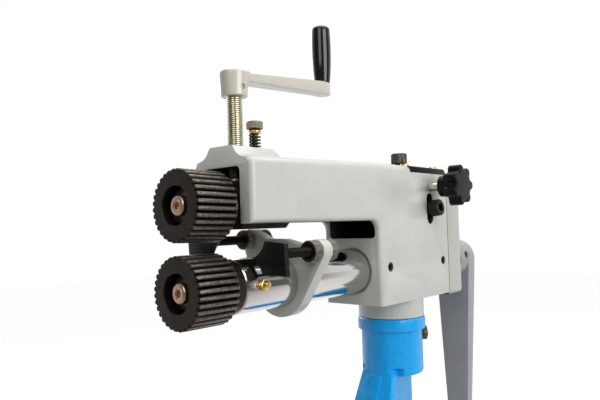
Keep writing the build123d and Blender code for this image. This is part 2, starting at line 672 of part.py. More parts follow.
upper_spindle_keys = spindle_keys(upper_station)
upper_spindle_keys.part.label = "upper_spindle_keys"
export_step(upper_spindle_keys.part, "parts/upper_spindle_keys.step")

lower_roller = crimp_roller(station)
lower_roller.part.label = "lower_roller"
export_step(lower_roller.part, "parts/lower_roller.step")

upper_roller = crimp_roller(upper_station)
upper_roller.part.label = "upper_roller"
export_step(upper_roller.part, "parts/upper_roller.step")

lower_roller_washer = roller_washer(station)
lower_roller_washer.part.label = "lower_roller_washer"
export_step(lower_roller_washer.part, "parts/lower_roller_washer.step")

upper_roller_washer = roller_washer(upper_station)
upper_roller_washer.part.label = "upper_roller_washer"
export_step(upper_roller_washer.part, "parts/upper_roller_washer.step")

lower_roller_bolt = roller_bolt(station)
lower_roller_bolt.part.label = "lower_roller_bolt"
export_step(lower_roller_bolt.part, "parts/lower_roller_bolt.step")

upper_roller_bolt = roller_bolt(upper_station)
upper_roller_bolt.part.label = "upper_roller_bolt"
export_step(upper_roller_bolt.part, "parts/upper_roller_bolt.step")

# a tooth of the lower gear points up into a gap of the upper gear
lower_gear = spur_gear(station, 90.0)
lower_gear.part.label = "lower_gear"
export_step(lower_gear.part, "parts/lower_gear.step")

upper_gear = spur_gear(upper_station, -90.0 + 180.0 / GEAR_TEETH)
upper_gear.part.label = "upper_gear"
export_step(upper_gear.part, "parts/upper_gear.step")

# ---------------------------------------------------------------- upper rear bearing and adjuster
BALL_R = 15.5
BALL_HALF = 10.0
with BuildPart() as upper_rear_bush:
    Sphere(BALL_R)
    with BuildSketch(Plane.YZ.offset(-BALL_HALF - 10)):
        Circle(BALL_R + 1)
    extrude(amount=10, mode=Mode.SUBTRACT)
    with BuildSketch(Plane.YZ.offset(BALL_HALF)):
        Circle(BALL_R + 1)
    extrude(amount=10, mode=Mode.SUBTRACT)
    with BuildSketch(Plane.YZ.offset(-BALL_HALF - 1)):
        Circle(SHAFT_R + RUN)
    extrude(amount=2 * BALL_HALF + 2, mode=Mode.SUBTRACT)
upper_rear_bush = Pos(PIVOT_X, 0, PIVOT_Z) * Rot(0, degrees(TILT), 0) * upper_rear_bush.part
upper_rear_bush.label = "upper_rear_bush"
export_step(upper_rear_bush, "parts/upper_rear_bush.step")

RING_R = 13.0
RING_THICK = 4.0
SHIFT = 0.7                 # the upper spindle's travel to each side for lining up the rollers
with BuildPart() as upper_thrust_rings:
    for ring_x in (PIVOT_X - BALL_HALF - SHIFT - APART - RING_THICK, PIVOT_X + BALL_HALF + SHIFT + APART):
        with BuildSketch(upper_station(ring_x)):
            Circle(RING_R)
            Circle(SHAFT_R + SEAT, mode=Mode.SUBTRACT)
        extrude(amount=RING_THICK)
upper_thrust_rings.part.label = "upper_thrust_rings"
export_step(upper_thrust_rings.part, "parts/upper_thrust_rings.step")

PIN_R = 5.0
PIN_HEAD_R = 8.0
PIN_HEAD = 10.0
PIN_HEAD_REACH = 33.4       # spindle axis to the underside of the adjuster screw's head
PIN_ANGLE = 5.6             # degrees that the screw stands above level
pin_plane = Plane(
    origin=(
        PIVOT_X, -PIN_HEAD_REACH * cos(radians(PIN_ANGLE)),
        PIVOT_Z + PIN_HEAD_REACH * sin(radians(PIN_ANGLE)),
    ),
    x_dir=(1, 0, 0), z_dir=(0, -cos(radians(PIN_ANGLE)), sin(radians(PIN_ANGLE))),
)
PIN_INNER = BALL_R + 1.2
with BuildPart() as adjuster_sleeve:
    with BuildSketch(station(PIVOT_X - SLEEVE_HALF, z=PIVOT_Z)):
        Circle(SLEEVE_R)
        Circle(BALL_R + RUN, mode=Mode.SUBTRACT)
    extrude(amount=2 * SLEEVE_HALF)
    with BuildSketch(pin_plane):
        Circle(PIN_R + SEAT)
    extrude(amount=-(PIN_HEAD_REACH - PIN_INNER + 3), mode=Mode.SUBTRACT)
adjuster_sleeve.part.label = "adjuster_sleeve"
export_step(adjuster_sleeve.part, "parts/adjuster_sleeve.step")

adjuster_screw = cap_screw(pin_plane, PIN_HEAD_R, PIN_HEAD, PIN_R, PIN_HEAD_REACH - PIN_INNER, 8.0)
adjuster_screw.part.label = "adjuster_screw"
export_step(adjuster_screw.part, "parts/adjuster_screw.step")

# ---------------------------------------------------------------- star knob
STAR_HUB_Y = -HALF_WIDTH - 13.7
STAR_HUB_R = 10.25
STAR_HUB = 10.8
STAR_TIP_R = 19.5
STAR_LOBES = 7
STAR_HEAD = 12.5
with BuildPart() as star_knob:
    with BuildSketch(side(STAR_HUB_Y, PIVOT_X, STAR_Z)):
        Circle(STAR_HUB_R)
    extrude(amount=STAR_HUB + 1)
    with BuildSketch(side(STAR_HUB_Y - STAR_HUB, PIVOT_X, STAR_Z)) as star_outline:
        Circle(STAR_TIP_R - 4.5)
        with PolarLocations(STAR_TIP_R - 4.6, STAR_LOBES):
            Circle(4.6)
        fillet(star_outline.vertices(), 2.2)
    extrude(amount=STAR_HEAD)
    star_rims = star_knob.edges().filter_by(
        lambda e: abs(e.center().Y - (STAR_HUB_Y - STAR_HUB - STAR_HEAD)) < 0.1
    )
    fillet(star_rims, 2.0)
    with BuildSketch(side(STAR_HUB_Y + 1, PIVOT_X, STAR_Z)):
        Circle(STAR_R + SEAT)
    extrude(amount=12.0, mode=Mode.SUBTRACT)
star_knob.part.label = "star_knob"
export_step(star_knob.part, "parts/star_knob.step")

with BuildPart() as star_knob_stud:
    with BuildSketch(side(STAR_HUB_Y - 10.5, PIVOT_X, STAR_Z)):
        Circle(STAR_R)
    extrude(amount=-(STAR_REACH - HALF_WIDTH - STAR_HUB_Y + 10.5 - 1.5))
star_knob_stud.part.label = "star_knob_stud"
export_step(star_knob_stud.part, "parts/star_knob_stud.step")

# ---------------------------------------------------------------- bearing block and its bush
BLOCK_X = ARM_FRONT_X + 3.6
BLOCK_TOP = UPPER_Z + BLOCK_ABOVE
BLOCK_BOTTOM = UPPER_Z - BLOCK_BELOW
UPPER_BUSH_R = 14.0
with BuildPart() as bearing_block:
    with Locations((BLOCK_X, 0, BLOCK_BOTTOM)):
        Box(
            BLOCK_LENGTH, 2 * BLOCK_HALF, BLOCK_TOP - BLOCK_BOTTOM,
            align=(Align.MIN, Align.CENTER, Align.MIN),
        )
    lower_edges = bearing_block.edges().filter_by(Axis.X).group_by(Axis.Z)[0]
    chamfer(lower_edges, 5.0)
    fillet(bearing_block.edges().filter_by(Axis.X).group_by(Axis.Z)[-1], 3.0)
    with BuildSketch(upper_station(BLOCK_X - 5)):
        Circle(UPPER_BUSH_R + SEAT)
    extrude(amount=BLOCK_LENGTH + 10, mode=Mode.SUBTRACT)
    with BuildSketch(level(BLOCK_TOP + 1, LIFT_X)):
        Circle(STUD_R + SEAT)
    extrude(amount=-4.0, mode=Mode.SUBTRACT)
    with BuildSketch(level(BLOCK_TOP + 1, FEED_X)):
        Circle(FEED_R + 3.3)
    extrude(amount=-2.0, mode=Mode.SUBTRACT)
bearing_block.part.label = "bearing_block"
export_step(bearing_block.part, "parts/bearing_block.step")

with BuildPart() as upper_front_bush:
    with BuildSketch(upper_station(BLOCK_X - 1.0)):
        Circle(UPPER_BUSH_R)
        Circle(SHAFT_R + RUN, mode=Mode.SUBTRACT)
    extrude(amount=BLOCK_LENGTH + 2.0)
upper_front_bush.part.label = "upper_front_bush"
export_step(upper_front_bush.part, "parts/upper_front_bush.step")

# ---------------------------------------------------------------- lifting stud, spring and nut
LIFT_CAP_LOW = BOSS_TOP + 12.3
LIFT_CAP_R = 4.3
LIFT_CAP = 3.4
LIFT_NUT_R = 6.6
LIFT_NUT = 5.8
LIFT_TOP = LIFT_CAP_LOW + LIFT_CAP + LIFT_NUT
with BuildPart() as lift_stud:
    with BuildSketch(level(BLOCK_TOP - 2.8, LIFT_X)):
        Circle(STUD_R)
    extrude(amount=LIFT_TOP - 0.8 - BLOCK_TOP + 2.8)
lift_stud.part.label = "lift_stud"
export_step(lift_stud.part, "parts/lift_stud.step")

with BuildPart() as lift_cap:
    with BuildSketch(level(LIFT_CAP_LOW, LIFT_X)):
        Circle(LIFT_CAP_R + 0.4)
        Circle(STUD_R + SEAT, mode=Mode.SUBTRACT)
    extrude(amount=LIFT_CAP - APART)
lift_cap.part.label = "lift_cap"
export_step(lift_cap.part, "parts/lift_cap.step")

with BuildPart() as lift_nut:
    with BuildSketch(level(LIFT_CAP_LOW + LIFT_CAP, LIFT_X)):
        Circle(LIFT_NUT_R)
        Circle(STUD_R + RUN, mode=Mode.SUBTRACT)
    extrude(amount=LIFT_NUT)
    chamfer(lift_nut.edges().filter_by(GeomType.CIRCLE).sort_by(SortBy.LENGTH)[-2:], 0.6)
lift_nut.part.label = "lift_nut"
export_step(lift_nut.part, "parts/lift_nut.step")


def biarc(start, start_dir, end, end_dir):
    """Two tangent arcs from one point and direction to another, as points and directions."""
    chord = end - start
    turn = start_dir + end_dir
    a = turn.dot(turn) - 4
    b = -2 * chord.dot(turn)
    c = chord.dot(chord)
    reach = (-b - sqrt(b * b - 4 * a * c)) / (2 * a) if abs(a) > 1e-9 else -c / b
    first = start + start_dir * reach
    second = end - end_dir * reach
    return (first + second) * 0.5, (second - first).normalized()


SPRING_LOW = BOSS_TOP
SPRING_BEND = 1.3           # height in which an end straightens up
spring_low_turn = SPRING_LOW + 2 * SPRING_WIRE_R + SPRING_BEND
spring_pitch = (LIFT_CAP_LOW - SPRING_LOW - 2 * (2 * SPRING_WIRE_R + SPRING_BEND)) / SPRING_TURNS
SPRING_STEP = pi / 2


def spring_point(angle):
    """A point on the spring's helix, angle measured from its first turn."""
    rise = spring_low_turn + spring_pitch * angle / (2 * pi)
    return Vector(LIFT_X + SPRING_MEAN_R * cos(angle), SPRING_MEAN_R * sin(angle), rise)


def spring_dir(angle):
    """The helix's direction there."""
    rise = spring_pitch / (2 * pi)
    return Vector(-SPRING_MEAN_R * sin(angle), SPRING_MEAN_R * cos(angle), rise).normalized()


up = Vector(0, 0, 1)
turn_end = SPRING_TURNS * 2 * pi
foot_shift = Vector(SPRING_MEAN_R * cos(-0.35), SPRING_MEAN_R * sin(-0.35), 0)
head_shift = Vector(SPRING_MEAN_R * cos(0.35), SPRING_MEAN_R * sin(0.35), 0)
spring_foot = Vector(LIFT_X, 0, SPRING_LOW) + foot_shift
spring_head = Vector(LIFT_X, 0, LIFT_CAP_LOW) + head_shift
stops = [(spring_foot + up * 2 * SPRING_WIRE_R, up)]
stops += [
    (spring_point(i * SPRING_STEP), spring_dir(i * SPRING_STEP))
    for i in range(round(turn_end / SPRING_STEP) + 1)
]
stops += [(spring_head - up * 2 * SPRING_WIRE_R, up)]
with BuildPart() as lift_spring:
    with BuildLine() as spring_path:
        Line(spring_foot, stops[0][0])
        for (point, direction), (next_point, next_direction) in zip(stops, stops[1:]):
            middle, middle_dir = biarc(point, direction, next_point, next_direction)
            TangentArc(point, middle, tangent=direction)
            TangentArc(middle, next_point, tangent=middle_dir)
        Line(stops[-1][0], spring_head)
    with BuildSketch(Plane(origin=spring_foot, z_dir=(0, 0, 1))):
        Circle(SPRING_WIRE_R)
    sweep(path=spring_path.wires()[0])
lift_spring.part.label = "lift_spring"
export_step(lift_spring.part, "parts/lift_spring.step")

# least gap of the spring's wire to itself, on points along it
spring_wire = spring_path.wires()[0]
SAMPLES = 400
samples = [spring_wire @ (i / SAMPLES) for i in range(SAMPLES + 1)]
apart = round(SAMPLES * 4 * SPRING_WIRE_R * 2 / spring_wire.length)
least_gap = min(
    (samples[i] - samples[j]).length
    for i in range(0, SAMPLES + 1, 2) for j in range(i + apart, SAMPLES + 1, 2)
) - 2 * SPRING_WIRE_R
print(f"lift spring: least gap to itself {least_gap:.2f} mm, wire length {spring_wire.length:.1f} mm")

# ---------------------------------------------------------------- feed screw and its crank
CRANK_LOW = AXIS_Z + 137.9
CRANK_HUB = 19.6
CRANK_HUB_R = 9.9
CRANK_HUB_TAPER = 3.5
CRANK_SCREW_R = 2.0
CRANK_SCREW_Z = CRANK_LOW + 6.4
CRANK_ARM_LOW = AXIS_Z + 150.2
CRANK_ARM_RISE = 4.6
CRANK_ARM_THICK = 5.7
EYE_THICK = 10.0
CRANK_ARM_HALF_HUB = 8.2
CRANK_ARM_HALF_EYE = 6.9
BUTTON_TOP = BLOCK_TOP + 3.0
with BuildPart() as feed_screw:
    with BuildSketch(level(BUTTON_TOP - 0.1, FEED_X)):
        Circle(FEED_R)
    extrude(amount=CRANK_LOW + CRANK_HUB - 2.0 - BUTTON_TOP + 0.1)
    chamfer(end_edges(feed_screw, Axis.Z, True), 1.0)
feed_screw.part.label = "feed_screw"
export_step(feed_screw.part, "parts/feed_screw.step")

with BuildPart() as feed_thrust_button:
    with BuildSketch(level(BLOCK_TOP - 0.7, FEED_X)):
        Circle(FEED_R + 2.4)
    extrude(amount=BUTTON_TOP - APART - BLOCK_TOP + 0.7)
    chamfer(end_edges(feed_thrust_button, Axis.Z, True), 0.8)
feed_thrust_button.part.label = "feed_thrust_button"
export_step(feed_thrust_button.part, "parts/feed_thrust_button.step")

EYE_X = FEED_X + CRANK_RADIUS
EYE_LOW = CRANK_ARM_LOW + CRANK_ARM_RISE
EYE_TOP = EYE_LOW + EYE_THICK
with BuildPart() as feed_crank:
    with BuildSketch(level(CRANK_LOW, FEED_X)):
        Circle(CRANK_HUB_R)
    extrude(amount=CRANK_HUB, taper=-CRANK_HUB_TAPER)
    fillet(end_edges(feed_crank, Axis.Z, True), 2.5)
    fillet(end_edges(feed_crank, Axis.Z, False), 1.2)
    # the arm widens to the hub in plan and rises to the eye
    with BuildSketch(level(CRANK_ARM_LOW, 0)):
        with BuildLine():
            Polyline(
                (FEED_X, -CRANK_ARM_HALF_HUB), (EYE_X, -CRANK_ARM_HALF_EYE),
                (EYE_X, CRANK_ARM_HALF_EYE), (FEED_X, CRANK_ARM_HALF_HUB), close=True,
            )
        make_face()
        with Locations((EYE_X, 0)):
            Circle(CRANK_ARM_HALF_EYE)
    extrude(amount=CRANK_ARM_RISE + CRANK_ARM_THICK + 5)
    with BuildSketch(Plane.XZ):
        with BuildLine():
            Polyline(
                (FEED_X + CRANK_HUB_R, CRANK_ARM_LOW - 1), (FEED_X + CRANK_HUB_R, CRANK_ARM_LOW),
                (EYE_X - CRANK_ARM_HALF_EYE, EYE_LOW), (EYE_X + 9, EYE_LOW),
                (EYE_X + 9, CRANK_ARM_LOW - 1), close=True,
            )
        make_face()
    extrude(amount=CRANK_ARM_HALF_HUB + 2, both=True, mode=Mode.SUBTRACT)
    with BuildSketch(Plane.XZ):
        with BuildLine():
            Polyline(
                (FEED_X - 12, CRANK_LOW + CRANK_HUB), (FEED_X + CRANK_HUB_R - 3, CRANK_LOW + CRANK_HUB),
                (FEED_X + CRANK_HUB_R, CRANK_ARM_LOW + CRANK_ARM_THICK),
                (EYE_X - CRANK_ARM_HALF_EYE, EYE_TOP), (EYE_X + 9, EYE_TOP),
                (EYE_X + 9, EYE_TOP + 30), (FEED_X - 12, EYE_TOP + 30), close=True,
            )
        make_face()
    extrude(amount=CRANK_HUB_R + 2, both=True, mode=Mode.SUBTRACT)
    with BuildSketch(level(CRANK_LOW - 1, FEED_X)):
        Circle(FEED_R + SEAT)
    extrude(amount=CRANK_HUB + 2, mode=Mode.SUBTRACT)
    with BuildSketch(level(EYE_LOW - 1, EYE_X)):
        Circle(3.0 + SEAT)
    extrude(amount=20, mode=Mode.SUBTRACT)
    with BuildSketch(side(-CRANK_HUB_R - 1, FEED_X, CRANK_SCREW_Z)):
        Circle(CRANK_SCREW_R + SEAT)
    extrude(amount=-(CRANK_HUB_R + 1 - FEED_R + 0.5), mode=Mode.SUBTRACT)
feed_crank.part.label = "feed_crank"
export_step(feed_crank.part, "parts/feed_crank.step")

with BuildPart() as feed_crank_screw:
    with BuildSketch(side(-FEED_R - SEAT, FEED_X, CRANK_SCREW_Z)):
        Circle(CRANK_SCREW_R)
    extrude(amount=CRANK_HUB_R - FEED_R - 0.2)
    with BuildSketch(side(-CRANK_HUB_R + 0.2, FEED_X, CRANK_SCREW_Z)):
        RegularPolygon(1.0, 6, major_radius=False)
    extrude(amount=-2.0, mode=Mode.SUBTRACT)
feed_crank_screw.part.label = "feed_crank_screw"
export_step(feed_crank_screw.part, "parts/feed_crank_screw.step")


def grip_section(length, base_r, belly_r, end_r, bore_r):
    """Half section of a turned grip, from its foot at 0 to its domed end."""
    with BuildSketch() as section:
        with BuildLine():
            foot = Line((bore_r, 0), (base_r, 0))
            flank = Spline(
                foot @ 1, (belly_r, 0.6 * length), (end_r + 0.25, length - 2.6),
                tangents=[(0.12, 1), (-0.06, 1)],
            )
            dome = ThreePointArc(flank @ 1, (0.78 * end_r, length - 0.7), (0.35 * end_r, length))
            Polyline(dome @ 1, (0, length), (0, length - 5), (bore_r, length - 5), (bore_r, 0))
        make_face()
    return section.sketch


GRIP_LENGTH = 50.0
with BuildPart() as feed_grip:
    with BuildSketch(Plane(origin=(EYE_X, 0, EYE_TOP + APART), x_dir=(1, 0, 0), z_dir=(0, -1, 0))):
        add(grip_section(GRIP_LENGTH, 6.7, 8.35, 7.6, 3.0 + RUN))
    revolve(axis=Axis((EYE_X, 0, 0), (0, 0, 1)))
feed_grip.part.label = "feed_grip"
export_step(feed_grip.part, "parts/feed_grip.step")

with BuildPart() as feed_grip_pin:
    with BuildSketch(level(EYE_LOW, EYE_X)):
        Circle(3.0)
    extrude(amount=EYE_TOP - EYE_LOW + GRIP_LENGTH - 6)
feed_grip_pin.part.label = "feed_grip_pin"
export_step(feed_grip_pin.part, "parts/feed_grip_pin.step")

# ---------------------------------------------------------------- crank lever
LEVER_HUB_X = LEVER_ARM_X - 18.0
LEVER_END_THICK = 10.5
GRIP_PIN_R = 5.0
LEVER_EYE_Z = AXIS_Z - LEVER_LENGTH
lean_angle = acos((LEVER_HUB_R - LEVER_EYE_R) / LEVER_LENGTH)
with BuildPart() as crank_lever:
    with BuildSketch(station(LEVER_BOSS_X)):
        Circle(15.0)
    extrude(amount=LEVER_HUB_X - LEVER_BOSS_X)
    with BuildSketch(station(LEVER_HUB_X)):
        Circle(LEVER_HUB_R)
    extrude(amount=LEVER_ARM_X + LEVER_THICK - LEVER_HUB_X)
    with BuildSketch(station(LEVER_ARM_X)):
        with BuildLine():
            across = sin(lean_angle)
            fall = cos(lean_angle)
            Polyline(
                (-LEVER_HUB_R * across, -LEVER_HUB_R * fall),
                (-LEVER_EYE_R * across, -LEVER_LENGTH - LEVER_EYE_R * fall),
                (LEVER_EYE_R * across, -LEVER_LENGTH - LEVER_EYE_R * fall),
                (LEVER_HUB_R * across, -LEVER_HUB_R * fall), close=True,
            )
        make_face()
        with Locations((0, -LEVER_LENGTH)):
            Circle(LEVER_EYE_R)
    extrude(amount=LEVER_THICK)
    # the back of the arm falls away towards the eye
    with BuildSketch(Plane.XZ):
        with BuildLine():
            Polyline(
                (LEVER_ARM_X + LEVER_THICK, AXIS_Z - LEVER_HUB_R),
                (LEVER_ARM_X + LEVER_END_THICK, LEVER_EYE_Z + LEVER_EYE_R),
                (LEVER_ARM_X + LEVER_END_THICK, LEVER_EYE_Z - LEVER_EYE_R - 1),
                (LEVER_ARM_X + LEVER_THICK + 1, LEVER_EYE_Z - LEVER_EYE_R - 1),
                (LEVER_ARM_X + LEVER_THICK + 1, AXIS_Z - LEVER_HUB_R), close=True,
            )
        make_face()
    extrude(amount=LEVER_HUB_R + 1, both=True, mode=Mode.SUBTRACT)
    with BuildSketch(station(LEVER_BOSS_X - 1)):
        Circle(SHAFT_R + SEAT)
    extrude(amount=LEVER_ARM_X + LEVER_THICK - LEVER_BOSS_X + 2, mode=Mode.SUBTRACT)
    with BuildSketch(station(LEVER_ARM_X - 1, z=LEVER_EYE_Z)):
        Circle(GRIP_PIN_R + SEAT)
    extrude(amount=LEVER_THICK + 2, mode=Mode.SUBTRACT)
    LEVER_SCREW_X = LEVER_HUB_X + 14.0
    with BuildSketch(side(-LEVER_HUB_R - 1, LEVER_SCREW_X, AXIS_Z + 4.0)):
        Circle(4.0 + SEAT)
    extrude(amount=-(LEVER_HUB_R + 1 - SHAFT_R + 1.2), mode=Mode.SUBTRACT)
crank_lever.part.label = "crank_lever"
export_step(crank_lever.part, "parts/crank_lever.step")

with BuildPart() as lever_set_screw:
    with BuildSketch(side(-SHAFT_R - 0.1, LEVER_SCREW_X, AXIS_Z + 4.0)):
        Circle(4.0)
    extrude(amount=LEVER_HUB_R - SHAFT_R - 2.4)
    with BuildSketch(side(-LEVER_HUB_R + 2.5, LEVER_SCREW_X, AXIS_Z + 4.0)):
        RegularPolygon(2.0, 6, major_radius=False)
    extrude(amount=-4.0, mode=Mode.SUBTRACT)
lever_set_screw.part.label = "lever_set_screw"
export_step(lever_set_screw.part, "parts/lever_set_screw.step")

CRANK_GRIP_LENGTH = 92.0
grip_foot_x = LEVER_ARM_X + LEVER_END_THICK + APART
with BuildPart() as crank_grip_pin:
    with BuildSketch(station(LEVER_ARM_X, z=LEVER_EYE_Z)):
        Circle(GRIP_PIN_R)
    extrude(amount=grip_foot_x - LEVER_ARM_X + CRANK_GRIP_LENGTH - 6)
crank_grip_pin.part.label = "crank_grip_pin"
export_step(crank_grip_pin.part, "parts/crank_grip_pin.step")

with BuildPart() as crank_grip:
    with BuildSketch(Plane(origin=(grip_foot_x, 0, LEVER_EYE_Z), x_dir=(0, 0, 1), z_dir=(0, 1, 0))):
        add(grip_section(CRANK_GRIP_LENGTH, 10.0, 14.0, 12.5, GRIP_PIN_R + RUN))
    revolve(axis=Axis((0, 0, LEVER_EYE_Z), (1, 0, 0)))
crank_grip.part.label = "crank_grip"
export_step(crank_grip.part, "parts/crank_grip.step")

# ---------------------------------------------------------------- stop bracket on the tube
BRACKET_X = ROLL_FRONT_X + BRACKET_SETBACK
BRACKET_RING_R = TUBE_R + 8.0
BRACKET_BORE_R = TUBE_R + RUN
turn = radians(BRACKET_TURN)


def bracket_plane(x):
    """A cross plane turned with the bracket about the tube."""
    return Plane(origin=(x, 0, AXIS_Z), x_dir=(0, cos(turn), sin(turn)), z_dir=(1, 0, 0))


def turned(across, up_from_axis):
    """Y and Z of a point given in the bracket's own directions."""
    y = across * cos(turn) - up_from_axis * sin(turn)
    z = AXIS_Z + across * sin(turn) + up_from_axis * cos(turn)
    return y, z


with BuildPart() as stop_bracket:
    with BuildSketch(bracket_plane(BRACKET_X)):
        Circle(BRACKET_RING_R)
        with Locations((-EAR_REACH, EAR_RISE), (EAR_REACH, EAR_RISE)):
            Circle(EAR_R)
        with BuildLine():
            reach = hypot(EAR_REACH, EAR_RISE)
            swing = acos((BRACKET_RING_R - EAR_R) / reach)
            bearing = atan(EAR_RISE / EAR_REACH) - swing
            half = Polyline(
                (0, 0), (BRACKET_RING_R * cos(bearing), BRACKET_RING_R * sin(bearing)),
                (EAR_REACH + EAR_R * cos(bearing), EAR_RISE + EAR_R * sin(bearing)),
                (EAR_REACH, EAR_RISE), (EAR_REACH - 4.0, EAR_RISE + 7.0),
                (EAR_REACH - 18.0, EAR_RISE + 2.7), (0, EAR_RISE + 4.6),
            )
            mirror(half, about=Plane.YZ)
        make_face()
        Circle(BRACKET_BORE_R, mode=Mode.SUBTRACT)
        with Locations((-EAR_REACH, EAR_RISE), (EAR_REACH, EAR_RISE)):
            Circle(ROD_R + RUN, mode=Mode.SUBTRACT)
    extrude(amount=BRACKET_THICK)
    with BuildSketch(Plane(origin=(BRACKET_X + BRACKET_THICK / 2, 0, BODY_BOTTOM - 10), z_dir=(0, 0, 1))):
        Circle(2.5 + SEAT)
    extrude(amount=AXIS_Z - BODY_BOTTOM - TUBE_R + 12, mode=Mode.SUBTRACT)
stop_bracket.part.label = "stop_bracket"
export_step(stop_bracket.part, "parts/stop_bracket.step")

with BuildPart() as bracket_set_screw:
    set_x = BRACKET_X + BRACKET_THICK / 2
    with BuildSketch(level(AXIS_Z - TUBE_R - RUN, set_x)):
        Circle(2.5)
    extrude(amount=-(BRACKET_RING_R - TUBE_R - 0.8))
    with BuildSketch(level(AXIS_Z - BRACKET_RING_R + 0.8 - RUN, set_x)):
        RegularPolygon(1.25, 6, major_radius=False)
    extrude(amount=3.0, mode=Mode.SUBTRACT)
bracket_set_screw.part.label = "bracket_set_screw"
export_step(bracket_set_screw.part, "parts/bracket_set_screw.step")

near_y, near_z = turned(-EAR_REACH, EAR_RISE)
far_y, far_z = turned(EAR_REACH, EAR_RISE)
with BuildPart() as stop_rod_nuts:
    for rod_y, rod_z in ((near_y, near_z), (far_y, far_z)):
        for nut_x in (BRACKET_X - ROD_NUT_LENGTH, BRACKET_X + BRACKET_THICK):
            with BuildSketch(station(nut_x, rod_y, rod_z)):
                Circle(ROD_NUT_R)
                Circle(ROD_R + RUN, mode=Mode.SUBTRACT)
            extrude(amount=ROD_NUT_LENGTH)
stop_rod_nuts.part.label = "stop_rod_nuts"
export_step(stop_rod_nuts.part, "parts/stop_rod_nuts.step")

# a stop plate's corners from its rod: out is away from the rollers' middle, in is towards it
PLATE_OUT = 7.2
PLATE_LOW = -15.4
PLATE_HIGH = 7.0
BEAK = (24.9, -3.0)
NEAR_STOP_X = ROLL_FRONT_X + 57.0
FAR_STOP_X = ROLL_FRONT_X + 40.6
FAR_STOP_TURN = -7.0        # degrees that the far plate has turned on its rod
ROD_END_X = ROLL_FRONT_X + 121.0
ROD_SINK = 2.0


def stop_plate(plane, facing):
    """A black stop plate with a beak between the rollers; facing is +1 near, -1 far."""
    with BuildPart() as plate:
        with BuildSketch(plane):
            with BuildLine():
                Polyline(
                    (facing * 15.3, -14.1), (-facing * (PLATE_OUT + 0.4), PLATE_LOW),
                    (-facing * (PLATE_OUT - 0.5), PLATE_HIGH), (facing * 12.5, 8.8),
                )
                ThreePointArc(
                    (facing * 12.5, 8.8), (facing * 17.2, 1.0), (facing * BEAK[0], BEAK[1])
                )
                ThreePointArc(
                    (facing * BEAK[0], BEAK[1]), (facing * 19.0, -8.0), (facing * 15.3, -14.1)
                )
            make_face()
        extrude(amount=STOP_THICK)
        with BuildSketch(station(plane.origin.X - 1)):
            Circle(TUBE_R + 2.0)
        extrude(amount=STOP_THICK + 2, mode=Mode.SUBTRACT)
        with BuildSketch(plane.offset(STOP_THICK - ROD_SINK)):
            Circle(ROD_R + SEAT)
        extrude(amount=ROD_SINK + 1, mode=Mode.SUBTRACT)
    return plate


def stop_rod(plate_x, y, z):
    """The rod from a stop plate back through the bracket's ear."""
    start = plate_x + STOP_THICK - ROD_SINK
    with BuildPart() as rod:
        with BuildSketch(station(start, y, z)):
            Circle(ROD_R)
        extrude(amount=ROD_END_X - start)
        chamfer(end_edges(rod, Axis.X, True), 0.8)
    return rod


near_stop_plate = stop_plate(station(NEAR_STOP_X, near_y, near_z), 1)
near_stop_plate.part.label = "near_stop_plate"
export_step(near_stop_plate.part, "parts/near_stop_plate.step")

far_turn = radians(FAR_STOP_TURN)
far_plane = Plane(
    origin=(FAR_STOP_X, far_y, far_z), x_dir=(0, cos(far_turn), sin(far_turn)), z_dir=(1, 0, 0)
)
far_stop_plate = stop_plate(far_plane, -1)
far_stop_plate.part.label = "far_stop_plate"
export_step(far_stop_plate.part, "parts/far_stop_plate.step")

near_stop_rod = stop_rod(NEAR_STOP_X, near_y, near_z)
near_stop_rod.part.label = "near_stop_rod"
export_step(near_stop_rod.part, "parts/near_stop_rod.step")

far_stop_rod = stop_rod(FAR_STOP_X, far_y, far_z)
far_stop_rod.part.label = "far_stop_rod"
export_step(far_stop_rod.part, "parts/far_stop_rod.step")

# ---------------------------------------------------------------- bench clamp
SOCKET_R = 29.2
SOCKET_RIM_R = NECK_R + 0.9
SOCKET_RIM = 11.0
SOCKET_GAP = 0.8
SOCKET_TOP = NECK_BOTTOM - SOCKET_GAP
SOCKET_BOTTOM = SOCKET_TOP - SPIGOT_LENGTH - 8.0
WEB_THICK = 10.0
FLANGE_THICK = 8.0
JAW_THICK = 12.0
JAW_HALF = 25.0
SPINE_FRONT_X = JAW_LENGTH / 2 + 1.4
SPINE_REAR_X = SOCKET_X + 25.0
LOWER_JAW_TOP = -CLAMP_OPENING
LOWER_JAW_THICK = 14.0
BOSS_R = 17.0
CLAMP_BOSS = 38.0
LOCK_ANGLE = -38.0          # degrees round the socket from +X
LOCK_R = 4.0

web_outline = [
    (SOCKET_X - 22, SOCKET_BOTTOM + 6), (SPINE_REAR_X, SOCKET_BOTTOM + 6),
    (SPINE_REAR_X, LOWER_JAW_TOP - 12), (SPINE_REAR_X - 24, LOWER_JAW_TOP - CLAMP_BOSS + 2),
    (0, LOWER_JAW_TOP - CLAMP_BOSS + 2), (-10, LOWER_JAW_TOP - 5),
    (SPINE_FRONT_X + 2, LOWER_JAW_TOP - 5), (SPINE_FRONT_X + 2, 5),
    (-JAW_LENGTH / 2 + 14, 5), (-JAW_LENGTH / 2 + 26, JAW_THICK + 3),
    (SOCKET_X - 48, JAW_THICK + 4), (SOCKET_X - 30, SOCKET_BOTTOM),
]
flange_foot = (SOCKET_X - 66, JAW_THICK - 4)
flange_knee = (SOCKET_X - 47, JAW_THICK + 6)
flange_top = (SOCKET_X - 27.5, SOCKET_BOTTOM + 4)

